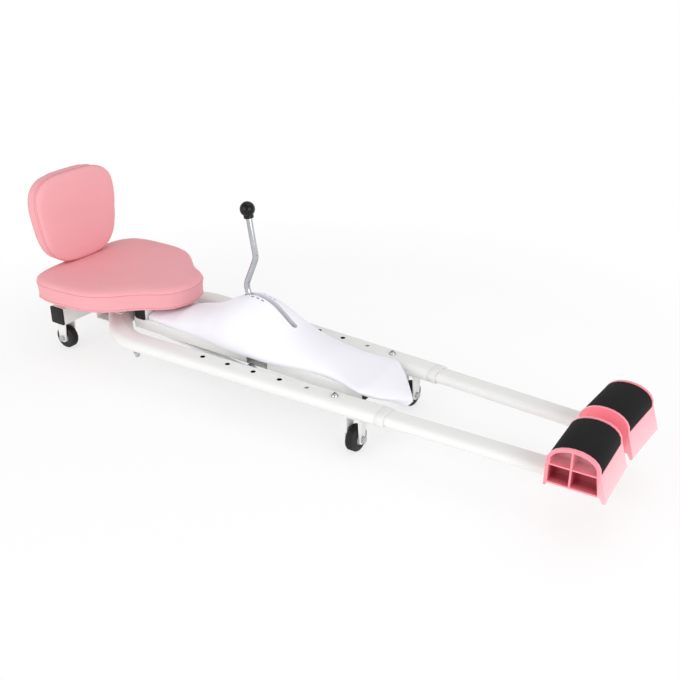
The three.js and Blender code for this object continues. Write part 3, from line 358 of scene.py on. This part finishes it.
# Painted shade and highlight: pockets get darker the deeper they go (painted shade), paler above the
# shelf (painted light) than below it, and the wall towards the feet gets paler downwards (painted sheen).
def paintedRestLight(finish, colour):
    reach, offset, height = legPlaces(finish)
    across = (reach - restMake["middle"] * mm) * (1 / (restMake["half"] * mm))
    rise = finish.sum("MAXIMUM", (height - restMake["shoulder"] * mm) * (1 / (restMake["arch"] * mm)))
    within = (across * across + rise * rise) < 1.0
    depth = finish.ranged(offset, (restMake["deep"] * mm, restMake["mouth"] * mm), (1.0, 0.0))
    low = height < restMake["shelf"] * mm
    tone = finish.between(low, paint(restMake["upperPocketLightTone"]), paint(restMake["lowerPocketShadeTone"]))
    colour = finish.between(within * depth * (offset > 0.0), colour, tone)
    pale = finish.ranged(
        height, (restMake["wallLow"] * mm, restMake["wallHigh"] * mm), (restMake["wallSheenShare"], 0.0))
    wall = across > restMake["wallFrom"]
    return finish.between(pale * wall, colour, paint(restMake["wallSheenTone"]))


finishes = {
    "leatherette": leatherette("pink leatherette", "F0AAAF", "E79FA6"),
    "seam": leatherette("pink seam", "E0959D", "D68A93"),
    # Pink plastic with painted shade in its pockets, painted light on its shelves and a painted sheen on
    # its wall
    "rest_pink": plastic(
        "pink moulded plastic", "FB8E9C", "F58494", 0.26, coat=0.85, shine=0.8, over=paintedRestLight),
    "cover_white": surface("white moulded plastic", "F3F2F9", "EEEDF5", coverLook, marked),
    "collar_white": plastic("white collar plastic", "E8E8E7", "E1E1E0", 0.4),
    "frame_white": surface("white powder coat", "EDEDEB", "E6E6E5", powderLook),
    # The legs' white coat carries painted shade inside the tube and in its holes
    "leg_white": surface("white powder coat, painted shade inside", "EDEDEB", "E6E6E5", powderLook, paintedShadeInside),
    "chrome": surface("polished chrome", "CFD2D5", "969A9E", chromeLook),
    "zinc": zincPlate("zinc plate", "C9CCCE", "A7ABAF"),
    "pad_black": foam("black foam cover", "1B191A", "100F10"),
    "cap_black": plastic("black cap plastic", "1E1E1E", "151515", 0.5, grain=600, strength=0.2, shine=0.25),
    "knob_black": plastic("black gloss knob", "080808", "040404", 0.16, grain=90, strength=0.03, shine=0.3),
    "tread": surface("black tread", "232323", "161616", treadLook),
    "hub_grey": plastic("grey hub plastic", "D5D6D8", "C3C5C8", 0.4),
}
print("finishes", len(finishes))


# Modelling helpers

# Points closer than the weld are one, faces within the flat angle are joined, and edges below the
# other two angles are shaded smooth
meshMake = {"weld": 0.01 * mm, "nodeWeld": 0.02 * mm, "flatAngle": 0.8, "turnedAngle": 40, "softAngle": 60}


def alone(piece):
    bpy.ops.object.select_all(action="DESELECT")
    piece.select_set(True)
    bpy.context.view_layer.objects.active = piece


# Edit mode on one piece, with all of its points selected or none
@contextmanager
def editing(piece, selected=True):
    alone(piece)
    bpy.ops.object.mode_set(mode="EDIT")
    bpy.ops.mesh.select_mode(type="VERT")
    bpy.ops.mesh.select_all(action="SELECT" if selected else "DESELECT")
    yield
    bpy.ops.object.mode_set(mode="OBJECT")


def selectWhere(piece, test):
    mesh = bmesh.from_edit_mesh(piece.data)
    for point in mesh.verts:
        point.select_set(bool(test(point.co)))
    mesh.select_flush_mode()
    bmesh.update_edit_mesh(piece.data)


def modified(piece, kind, **settings):
    alone(piece)
    modifier = piece.modifiers.new(kind.title(), kind)
    for key, value in settings.items():
        setattr(modifier, key, value)
    bpy.ops.object.modifier_apply(modifier=modifier.name)
    return piece


# A piece that one operator adds, with its place taken into the mesh
def added(name, operator, **settings):
    bpy.ops.object.select_all(action="DESELECT")
    operator(**settings)
    piece = bpy.context.object
    piece.name = name
    bpy.ops.object.transform_apply(location=True, rotation=True, scale=True)
    return piece


def smoothed(piece, angle=32):
    alone(piece)
    bpy.ops.object.shade_smooth_by_angle(angle=math.radians(angle))
    return piece


# A finished piece on its body, in the finish of its slot or another, in place of the nodes replaced
def placed(piece, body, slot, finish=None, replaced=()):
    piece.data.materials.clear()
    piece.data.materials.append(finishes[finish or slot])
    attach(piece, body)
    if replaced:
        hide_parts(*replaced)
    return piece


# A merged copy of a CAD node's mesh, with its flat faces joined up again
def lifted(name, node):
    piece = bpy.data.objects.new(name, nodes[node].data.copy())
    bpy.context.scene.collection.objects.link(piece)
    piece.data.materials.clear()
    with editing(piece):
        bpy.ops.mesh.customdata_custom_splitnormals_clear()
        bpy.ops.mesh.remove_doubles(threshold=meshMake["nodeWeld"])
        bpy.ops.mesh.dissolve_limited(angle_limit=math.radians(meshMake["flatAngle"]))
    return piece


def bevelled(piece, width, segments=2, angle=32):
    return modified(
        piece, "BEVEL", width=width, segments=segments, limit_method="ANGLE",
        angle_limit=math.radians(angle), use_clamp_overlap=True, miter_outer="MITER_ARC")


# A line of points, drawn by pulling a single point along
def drawn(name, points):
    piece = added(name, bpy.ops.mesh.primitive_plane_add, size=mm, location=points[0])
    with editing(piece):
        bpy.ops.mesh.merge(type="CENTER")
        for before, after in zip(points, points[1:]):
            bpy.ops.mesh.extrude_region_move(
                TRANSFORM_OT_translate={"value": Vector(after) - Vector(before)})
    return piece


# A profile in the piece's own frame (distance from the axis, place along it) spun about its axis
def turnedPiece(name, profile, centre, axis, steps=48):
    toAxis = Vector((0, 0, 1)).rotation_difference(Vector(axis)).to_matrix().to_4x4()
    piece = drawn(name, [Vector((radius, 0, height)) for radius, height in profile])
    with editing(piece):
        bpy.ops.mesh.spin(steps=steps, angle=math.tau, center=(0, 0, 0), axis=(0, 0, 1))
        bpy.ops.mesh.select_all(action="SELECT")
        bpy.ops.mesh.remove_doubles(threshold=meshMake["weld"])
        bpy.ops.mesh.normals_make_consistent(inside=False)
    piece.data.transform(Matrix.Translation(Vector(centre)) @ toAxis)
    return smoothed(piece, meshMake["turnedAngle"])


def inMetres(outline):
    return [(radius * mm, place * mm) for radius, place in outline]


def jointNamed(name):
    return next(joint for joint in frame["joints"] if joint["name"] == name)


# Cushions

clothMake = {
    "smoothing": 0.5, "rounds": 3, "pressure": 4.0, "frames": 20, "evenSteps": 140, "leastWay": 1e-9,
}
seatMake = {
    "voxel": 5 * mm, "cap": 4 * mm, "flat": 4 * mm,
    "turn": 2.6, "turnPlace": (station(-690), 0, 0), "shift": (0, 9 * mm, 0),
    "topSeam": 9.6 * mm, "lowSeam": 6 * mm, "seamRadius": 0.8 * mm, "lowSeamShare": 0.7,
}
backMake = {
    "voxel": 5 * mm, "cap": 3.5 * mm, "tilt": 2.5, "seamRadius": 0.7 * mm,
    "seams": {"backFrontSeam": 12.5 * mm, "backInnerSeam": 6.5 * mm, "backRearSeam": -14 * mm},
}
seamMake = {"cut": 0.001 * mm, "beadSteps": 2}


# A field on a mesh's points, shared out with their neighbours step by step
def evened(piece, field, steps):
    ends = np.array([edge.vertices[:] for edge in piece.data.edges])
    count = np.bincount(ends.ravel(), minlength=len(field))[:, None]
    for step in range(steps):
        near = np.zeros_like(field)
        np.add.at(near, ends[:, 0], field[ends[:, 1]])
        np.add.at(near, ends[:, 1], field[ends[:, 0]])
        field = (field + near / count) / 2
    return field


# Cloth swells the remeshed form, with each point's way evened out and held under a cap. Points that
# start below flatBelow stay where they are.
def swollen(piece, make, flatBelow=None):
    modified(piece, "REMESH", mode="VOXEL", voxel_size=make["voxel"], use_smooth_shade=True)
    modified(piece, "SMOOTH", factor=clothMake["smoothing"], iterations=clothMake["rounds"])
    start = [vertex.co.copy() for vertex in piece.data.vertices]
    cloth = piece.modifiers.new("Cloth", "CLOTH")
    cloth.settings.use_pressure = True
    cloth.settings.uniform_pressure_force = clothMake["pressure"]
    cloth.settings.effector_weights.gravity = 0
    for step in range(clothMake["frames"]):
        bpy.context.scene.frame_set(step + 1)
    alone(piece)
    bpy.ops.object.modifier_apply(modifier=cloth.name)
    bpy.context.scene.frame_set(1)
    ways = np.array([vertex.co - before for vertex, before in zip(piece.data.vertices, start)])
    ways = evened(piece, ways, clothMake["evenSteps"])
    for vertex, before, way in zip(piece.data.vertices, start, ways):
        held = 0 if flatBelow and before.z < flatBelow else make["cap"]
        length = max(np.linalg.norm(way), clothMake["leastWay"])
        vertex.co = before + Vector(way) * min(1.0, held / length)
    modified(piece, "SUBSURF", levels=1, render_levels=1)
    return smoothed(piece, meshMake["softAngle"])


# A stitched seam: the loop where a plane meets the cushion, as a thin bead
def seamLoop(name, cushion, point, normal, radius):
    loop = bpy.data.objects.new(name, cushion.data.copy())
    bpy.context.scene.collection.objects.link(loop)
    with editing(loop):
        bpy.ops.mesh.bisect(
            plane_co=point, plane_no=normal, clear_inner=True, clear_outer=True, threshold=seamMake["cut"])
    alone(loop)
    bpy.ops.object.convert(target="CURVE")
    loop = bpy.context.object
    loop.data.bevel_depth = radius
    loop.data.bevel_resolution = seamMake["beadSteps"]
    loop.data.use_fill_caps = False
    bpy.ops.object.convert(target="MESH")
    loop = bpy.context.object
    with editing(loop):
        bpy.ops.mesh.remove_doubles(threshold=meshMake["weld"])
        bpy.ops.mesh.normals_make_consistent(inside=False)
    return smoothed(loop, meshMake["softAngle"])


# The seat's look is turned and shifted, because the photographed seat lies askew on its frame
def addSeat(make):
    low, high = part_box("seat_cushion")
    seat = lifted("seatCushion", "seat_cushion")
    board = lifted("seatBoard", "seat_board")
    centre = Vector(make["turnPlace"])
    turn = Matrix.Rotation(math.radians(make["turn"]), 4, "Z")
    askew = Matrix.Translation(centre + Vector(make["shift"])) @ turn @ Matrix.Translation(-centre)
    for piece in (seat, board):
        piece.data.transform(askew)
    swollen(seat, make, low.z + make["flat"])
    up = (0, 0, 1)
    seam = seamLoop("seatTopSeam", seat, (0, 0, high.z - make["topSeam"]), up, make["seamRadius"])
    lowRadius = make["seamRadius"] * make["lowSeamShare"]
    lower = seamLoop("seatLowSeam", seat, (0, 0, low.z + make["lowSeam"]), up, lowRadius)
    placed(seat, "frame", "leatherette", replaced=["seat_cushion"])
    placed(seam, "frame", "leatherette", "seam")
    placed(lower, "frame", "leatherette", "seam")
    placed(smoothed(board), "frame", "board", "leatherette", ["seat_board"])
    print("seat done")


def addBackrest(make):
    low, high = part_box("backrest_cushion")
    back = swollen(lifted("backCushion", "backrest_cushion"), make)
    tilt = math.radians(make["tilt"])
    normal = Vector((math.cos(tilt), 0, math.sin(tilt)))
    middle = (low + high) / 2
    for name, offset in make["seams"].items():
        seam = seamLoop(name, back, middle + normal * offset, normal, make["seamRadius"])
        placed(seam, "frame", "leatherette", "seam")
    placed(back, "frame", "leatherette", replaced=["backrest_cushion"])
    print("backrest done")


# Cover: a grid lofted through the rows. Each row: place along the length, half width, ridge, widest
# line and rim as shares of the length, half width and height, rim width and roundness of the section.
# Its sizes are in mm where no mm stands beside them.

coverMake = {
    "start": -502, "length": 606, "halfWidth": 76, "height": 100.5, "base": 101.0,
    "wall": 3 * mm, "slotWidth": 13, "slotBack": -281, "slotFront": -157,
    "slotLow": 125 * mm, "slotHigh": 250 * mm, "slotSides": 40,
    "lipWidth": 2.2, "lipDepth": 13 * mm, "columns": 64, "perRow": 3, "sweepShare": 0.9,
    "slack": 0.01 * mm, "shadeAngle": 38,
    "rows": [
        (0, 0.7, 0.16, 0.05, 0, 0.96, 2.2), (0.05, 0.735, 0.18, 0.05, 0, 0.96, 2.2),
        (0.1, 0.775, 0.21, 0.05, 0, 0.96, 2.2), (0.13, 0.79, 0.3, 0.05, 0, 0.96, 2.1),
        (0.17, 0.8, 0.37, 0.05, 0, 0.96, 2.1), (0.22, 0.82, 0.465, 0.05, 0, 0.96, 2),
        (0.26, 0.855, 0.57, 0.06, 0, 0.96, 2), (0.3, 0.885, 0.7, 0.06, 0, 0.96, 1.9),
        (0.33, 0.92, 0.81, 0.07, 0, 0.96, 1.85), (0.37, 0.955, 0.93, 0.07, 0, 0.96, 1.75),
        (0.4, 0.97, 0.985, 0.07, 0, 0.96, 1.7), (0.425, 0.985, 1, 0.07, 0, 0.96, 1.65),
        (0.46, 1, 0.955, 0.07, 0, 0.96, 1.65), (0.49, 1, 0.875, 0.07, 0, 0.96, 1.65),
        (0.52, 0.995, 0.74, 0.07, 0, 0.96, 1.7), (0.55, 0.97, 0.595, 0.06, 0, 0.96, 1.8),
        (0.58, 0.935, 0.475, 0.06, 0, 0.96, 1.9), (0.62, 0.87, 0.39, 0.05, 0, 0.96, 2),
        (0.67, 0.79, 0.32, 0.05, 0, 0.96, 2.2), (0.72, 0.745, 0.27, 0.05, 0, 0.96, 2.4),
        (0.78, 0.775, 0.18, 0.04, 0, 0.96, 2.7), (0.83, 0.87, 0.11, 0.03, 0, 0.97, 3),
        (0.87, 0.94, 0.07, 0.01, -0.02, 0.97, 3.4), (0.89, 0.89, 0.05, -0.025, -0.085, 0.93, 3),
        (0.91, 0.775, 0.01, -0.08, -0.165, 0.86, 2.6), (0.93, 0.645, -0.035, -0.135, -0.25, 0.68, 2.4),
        (0.95, 0.48, -0.08, -0.175, -0.33, 0.5, 2.2), (0.97, 0.3, -0.125, -0.215, -0.4, 0.35, 2),
        (0.985, 0.165, -0.17, -0.25, -0.4, 0.4, 2), (1, 0.02, -0.22, -0.28, -0.3, 0.5, 2),
    ],
}


# The row at a place between two given ones, on a smooth curve through all of them
def rowAt(rows, place):
    index = min(int(place), len(rows) - 2)
    share = place - index
    near = [rows[max(0, min(len(rows) - 1, index + k))] for k in (-1, 0, 1, 2)]
    return [
        0.5 * (2 * b + (c - a) * share + (2 * a - 5 * b + 4 * c - d) * share ** 2
               + (3 * b - a - 3 * c + d) * share ** 3)
        for a, b, c, d in zip(*near)
    ]


# A point of the skin: the middle share of the width sweeps over the top, the rest is the skirt
def coverPoint(make, lengthShare, widthShare):
    along, width, ridge, belt, rim, rimWidth, roundness = rowAt(
        make["rows"], lengthShare * (len(make["rows"]) - 1))
    sweepShare = make["sweepShare"]
    offset = widthShare * 2 - 1
    half = width * make["halfWidth"]
    beltZ = make["base"] + belt * make["height"]
    if abs(offset) > sweepShare:
        skirt = (abs(offset) - sweepShare) / (1 - sweepShare)
        across = math.copysign(half * (1 + (rimWidth - 1) * skirt), offset)
        up = beltZ + (make["base"] + rim * make["height"] - beltZ) * skirt
    else:
        angle = offset / sweepShare * math.pi / 2
        power = 2 / roundness
        across = math.copysign(abs(math.sin(angle)) ** power, offset) * half
        rise = make["base"] + ridge * make["height"] - beltZ
        up = beltZ + max(math.cos(angle), 0) ** power * rise
    return Vector((station(make["start"] + along * make["length"]), across * mm, up * mm))


# The skin as a grid from -1 to 1 whose points are moved to their places
def coverLoft(name, make):
    lengths = (len(make["rows"]) - 1) * make["perRow"]
    loft = added(
        name, bpy.ops.mesh.primitive_grid_add, x_subdivisions=lengths,
        y_subdivisions=make["columns"], size=2)
    for vertex in loft.data.vertices:
        vertex.co = coverPoint(make, (vertex.co.x + 1) / 2, (vertex.co.y + 1) / 2)
    return loft


# An upright tool with the slot's outline: a cylinder pulled long
def slotTool(name, make, width):
    back = station(make["slotBack"] + make["slotWidth"] / 2)
    front = station(make["slotFront"] - make["slotWidth"] / 2)
    low, high = make["slotLow"], make["slotHigh"]
    tool = added(
        name, bpy.ops.mesh.primitive_cylinder_add, vertices=make["slotSides"], radius=width / 2 * mm,
        depth=high - low, location=(back, 0, (low + high) / 2))
    with editing(tool, selected=False):
        selectWhere(tool, lambda place: place.x > back + make["slack"])
        bpy.ops.transform.translate(value=(front - back, 0, 0))
    return tool


def addCover(make):
    cover = coverLoft("coverShell", make)
    rear = station(make["start"])
    with editing(cover, selected=False):
        selectWhere(cover, lambda place: abs(place.x - rear) < make["slack"])
        bpy.ops.mesh.edge_face_add()
        bpy.ops.mesh.select_all(action="SELECT")
        bpy.ops.mesh.normals_make_consistent(inside=False)
    thick = coverLoft("coverThick", make)
    for piece, wall in ((cover, make["wall"]), (thick, make["lipDepth"])):
        modified(piece, "SOLIDIFY", thickness=wall, offset=-1.0, use_even_offset=False)
    lip = slotTool("coverLip", make, make["slotWidth"] + 2 * make["lipWidth"])
    slot = slotTool("coverSlot", make, make["slotWidth"])
    modified(lip, "BOOLEAN", operation="INTERSECT", object=thick, solver="EXACT")
    modified(cover, "BOOLEAN", operation="UNION", object=lip, solver="EXACT")
    modified(cover, "BOOLEAN", operation="DIFFERENCE", object=slot, solver="EXACT")
    for tool in (thick, lip, slot):
        bpy.data.objects.remove(tool)
    smoothed(cover, make["shadeAngle"])
    placed(cover, "frame", "cover_white", replaced=["front_cover"])
    print("cover done", len(cover.data.polygons))


# Rigid nodes that keep their shape. Each has its body, its slot and the width of its edges in mm.

rigidMake = {
    "rear_cross_tube": ("frame", "frame_white", 0), "front_cross_tube": ("frame", "frame_white", 0),
    "seat_spine": ("frame", "frame_white", 0), "rail_tie": ("frame", "frame_white", 0.6),
    "pivot_bracket": ("frame", "frame_white", 0.4), "backrest_bracket": ("frame", "frame_white", 0.8),
    "lever_bracket": ("frame", "zinc", 0.4), "lever_pin": ("frame", "zinc", 0.4),
    "lever_rod": ("lever", "chrome", 0), "drive_pawl": ("pawl", "zinc", 0.3),
    "ratchet_slide": ("carriage", "zinc", 0.3),
}
for sideName in sides:
    rigidMake.update({
        f"rear_cap_{sideName}": ("frame", "cap_black", 1.0),
        f"cross_cap_{sideName}": ("frame", "cap_black", 1.0),
        f"rail_plug_{sideName}": ("frame", "cap_black", 1.0),
        f"side_rail_{sideName}": ("frame", "frame_white", 0),
        f"pivot_bolt_{sideName}": ("frame", "zinc", 0.5),
        f"rear_fork_{sideName}": ("frame", "frame_white", 0.4),
        f"rear_axle_{sideName}": ("frame", "zinc", 0.4),
        f"leg_tube_{sideName}": (f"leg_{sideName}", "frame_white", 0),
        f"leg_collar_{sideName}": (f"leg_{sideName}", "cover_white", 1.0),
        f"clamp_bolt_{sideName}": (f"leg_{sideName}", "chrome", 0),
        f"front_fork_{sideName}": (f"leg_{sideName}", "frame_white", 0.4),
        f"front_axle_{sideName}": (f"leg_{sideName}", "zinc", 0.4),
        f"link_plate_{sideName}": (f"leg_{sideName}", "frame_white", 0.4),
        f"link_bolt_{sideName}": (f"leg_{sideName}", "zinc", 0.4),
        f"link_bar_{sideName}": (f"link_{sideName}", "zinc", 0.4),
        f"extension_tube_{sideName}": (f"extension_{sideName}", "frame_white", 0),
        f"snap_button_{sideName}": (f"button_{sideName}", "zinc", 0.4),
        f"calf_rest_{sideName}": (f"extension_{sideName}", "rest_pink", 0),
    })

# Nodes that show a finish other than the one of their slot
shownFinish = {}
for sideName in sides:
    shownFinish.update({
        f"leg_collar_{sideName}": "collar_white", f"leg_tube_{sideName}": "leg_white",
        f"link_bar_{sideName}": "frame_white",
    })


# The backrest's board stays as it is, in the finish of the cushion
def addRigid(table):
    for node, (body, slot, edge) in table.items():
        piece = lifted(node + "Look", node)
        if edge:
            bevelled(piece, edge * mm)
        placed(smoothed(piece), body, slot, shownFinish.get(node), [node])
    nodes["backrest_board"].data.materials.clear()
    nodes["backrest_board"].data.materials.append(finishes["leatherette"])
    print("rigid pieces done", len(table))


# Casters in mm: a ribbed tyre on a grey hub. The points of a side are distances from the axle and
# places along it. The ribs' ends and the groove's start are counted from where their pitch starts.

wheelMake = {
    "radius": 25.0, "ribs": 4, "ribPitch": 3.5, "ribEnds": (0.5, 2.6),
    "grooveRadius": 23.9, "grooveFrom": 3.0,
    "tyreSide": [(11.2, 9.0), (13.0, 10.5), (20.0, 10.5), (23.0, 9.3), (24.3, 7.6)],
    "hubSide": [(4.4, 11.4), (7.0, 11.4), (8.0, 8.9), (10.0, 8.9), (10.6, 9.9), (11.0, 9.5)],
}


# A closed outline: one side mirrored, what lies in the middle, and the side itself
def mirroredLoop(side, middle=()):
    outline = [(radius, -place) for radius, place in side]
    outline += middle
    outline += reversed(side)
    return outline + outline[:1]


def tyreRibs(make):
    points = []
    for rib in range(make["ribs"]):
        start = (rib - make["ribs"] / 2) * make["ribPitch"]
        points += [(make["radius"], start + end) for end in make["ribEnds"]]
        if rib < make["ribs"] - 1:
            groove = (make["grooveFrom"], make["ribPitch"])
            points += [(make["grooveRadius"], start + end) for end in groove]
    return points


def addWheels(make):
    parts = {
        "Tyre": (mirroredLoop(make["tyreSide"], tyreRibs(make)), "tread"),
        "Hub": (mirroredLoop(make["hubSide"]), "hub_grey"),
    }
    for place in ("rear", "front"):
        for side in sides:
            node = f"{place}_wheel_{side}"
            joint = jointNamed(node + "_spin")
            for part, (outline, finish) in parts.items():
                piece = turnedPiece(node + part, inMetres(outline), joint["pos_m"], joint["axis"])
                placed(piece, node, "tread", finish, [node] if part == "Tyre" else ())
    print("wheels done")


# Lever knob in mm: a ball with a short neck, outlined from the bore round the neck to the ball's top

knobMake = {
    "centre": (-266, 371), "lean": (-16, 0, 95), "radius": 14.7, "steps": 18, "sides": 40,
    "neck": 9.7, "neckEnd": -17.6, "lip": 0.8, "bore": 6.3,
}


def addKnob(make):
    centre = Vector((station(make["centre"][0]), 0, make["centre"][1] * mm))
    ball, neck, end = make["radius"], make["neck"], make["neckEnd"]
    profile = [(0, 0), (make["bore"], 0), (make["bore"], end)]
    profile += [(neck - make["lip"], end), (neck, end + make["lip"])]
    start = math.asin(neck / ball)
    for step in range(make["steps"]):
        angle = start + (math.pi - start) * step / make["steps"]
        profile.append((ball * math.sin(angle), -ball * math.cos(angle)))
    profile.append((0, ball))
    lean = Vector(make["lean"]).normalized()
    knob = turnedPiece("leverKnobLook", inMetres(profile), centre, lean, make["sides"])
    placed(knob, "lever", "knob_black", replaced=["lever_knob"])
    print("knob done")


# Calf pads: a foam sheet with rounded edges over the arch

padMake = {"edge": 1.3 * mm, "segments": 3, "edgeAngle": 40, "shadeAngle": 50}


def addPads(make):
    for side in sides:
        pad = lifted(f"calfPadLook_{side}", f"calf_pad_{side}")
        bevelled(pad, make["edge"], make["segments"], make["edgeAngle"])
        smoothed(pad, make["shadeAngle"])
        placed(pad, f"extension_{side}", "pad_black", replaced=[f"calf_pad_{side}"])
    print("pads done")


# Small fasteners that the CAD leaves out, in mm

studMake = {
    "place": -480, "across": 115, "steps": 24,
    "outline": [
        (0, 46), (3.5, 46.8), (5, 49), (5, 55), (7.5, 55.5), (7.5, 60), (5, 60.5), (5, 72.6), (0, 72.6),
    ],
}

# Painted shade: the recess in a clamp bolt's head is shown dark by black lobes whose tops stand just proud
# of it
clampShadeMake = {
    "lobes": 3, "firstShare": 0.25, "radius": 1.3, "spread": 1.7, "depth": 1.2, "sunk": 0.5, "sides": 16,
}


def addStud(make, side, sign):
    foot = (station(make["place"]), sign * make["across"] * mm, 0)
    stud = turnedPiece(f"bendStud_{side}", inMetres(make["outline"]), foot, (0, 0, 1), make["steps"])
    placed(stud, f"leg_{side}", "zinc")


# Black lobes in the bolt's head, as painted shade of its recess
def addClampRecessShade(make, side):
    low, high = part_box(f"clamp_bolt_{side}")
    middle = (low + high) / 2
    lobes = []
    for step in range(make["lobes"]):
        angle = math.tau * (step + make["firstShare"]) / make["lobes"]
        away = Vector((math.cos(angle), math.sin(angle), 0)) * make["spread"] * mm
        place = Vector((middle.x, middle.y, high.z - make["sunk"] * mm)) + away
        lobes.append(added(
            f"clampShadeLobe_{side}_{step}", bpy.ops.mesh.primitive_cylinder_add, vertices=make["sides"],
            radius=make["radius"] * mm, depth=make["depth"] * mm, location=place))
    for lobe in lobes[1:]:
        modified(lobes[0], "BOOLEAN", operation="UNION", object=lobe, solver="EXACT")
        bpy.data.objects.remove(lobe)
    placed(lobes[0], f"leg_{side}", "cap_black")


def addFasteners():
    for side, sign in sides.items():
        addStud(studMake, side, sign)
        addClampRecessShade(clampShadeMake, side)
    print("fasteners done")


# Floor, lamps and world

stageMake = {
    "floor": {"Base Color": paint("FFFFFF"), "Roughness": 0.9, "Specular IOR Level": 0.1},
    "floorSize": 60, "floorPlace": (0, 0, -0.4 * mm), "shadowReach": (0.75, 1.15), "glowShares": (0.7, 1.0),
    "skyHeights": (0.0, 0.9), "skyStrengths": (0.85, 0.52), "white": (1, 1, 1, 1), "aim": (0, 0, 0.1),
    "lamps": {
        "right": {"power": 34, "size": 2.2, "place": (2.6, -0.9, 0.9)},
        "front": {"power": 33, "size": 2.6, "place": (-0.9, -2.8, 1.0)},
        "top": {"power": 14, "size": 2.6, "place": (0.3, 0.6, 2.6)},
    },
}


# The floor glows white to the camera and in reflections, and less near the object, where shadows show
def addFloor(make):
    floor = added(
        "floor", bpy.ops.mesh.primitive_plane_add, size=make["floorSize"], location=make["floorPlace"])
    finish = Finish("pale floor", make["floor"])
    rays = finish.node("ShaderNodeLightPath", {}, {}).socket.node.outputs
    shows = finish.sum("MAXIMUM", Wire(finish, rays["Is Camera Ray"]), Wire(finish, rays["Is Glossy Ray"]))
    away = finish.node("ShaderNodeVectorMath", {"operation": "LENGTH"}, {0: finish.place}, "Value")
    plain = finish.ranged(away, make["shadowReach"], make["glowShares"])
    glow = finish.node("ShaderNodeEmission", {}, {"Color": make["white"], "Strength": 1.0})
    mixed = finish.node(
        "ShaderNodeMixShader", {}, {0: shows * plain, 1: Wire(finish, finish.shader.outputs[0]), 2: glow})
    finish.join(finish.tree.nodes["Material Output"].inputs["Surface"], mixed)
    floor.data.materials.append(finish.material)


# The world is white to the camera; what it sheds on the object is brighter at the horizon than above
def addWorld(make):
    world = bpy.data.worlds.new("studio")
    bpy.context.scene.world = world
    world.use_nodes = True
    wiring = Wiring(world.node_tree)
    place = wiring.node("ShaderNodeTexCoord", {}, {}, "Generated")
    height = wiring.node("ShaderNodeSeparateXYZ", {}, {0: place}, 2)
    shed = wiring.ranged(height, make["skyHeights"], make["skyStrengths"])
    seen = wiring.node("ShaderNodeLightPath", {}, {}, "Is Camera Ray")
    background = wiring.tree.nodes["Background"]
    wiring.join(background.inputs["Strength"], shed * (1 - seen) + seen)
    wiring.join(background.inputs["Color"], make["white"])


def addStage(make):
    addFloor(make)
    addWorld(make)
    for name, lamp in make["lamps"].items():
        place = Vector(lamp["place"])
        bpy.ops.object.light_add(type="AREA", location=place)
        light = bpy.context.object
        light.name = name + "Lamp"
        light.data.energy = lamp["power"]
        light.data.size = lamp["size"]
        light.rotation_euler = (place - Vector(make["aim"])).to_track_quat("Z", "Y").to_euler()
    print("stage done")


addCamera(cameraView)
addStage(stageMake)
addSeat(seatMake)
addBackrest(backMake)
addCover(coverMake)
addRigid(rigidMake)
addWheels(wheelMake)
addKnob(knobMake)
addPads(padMake)
addFasteners()
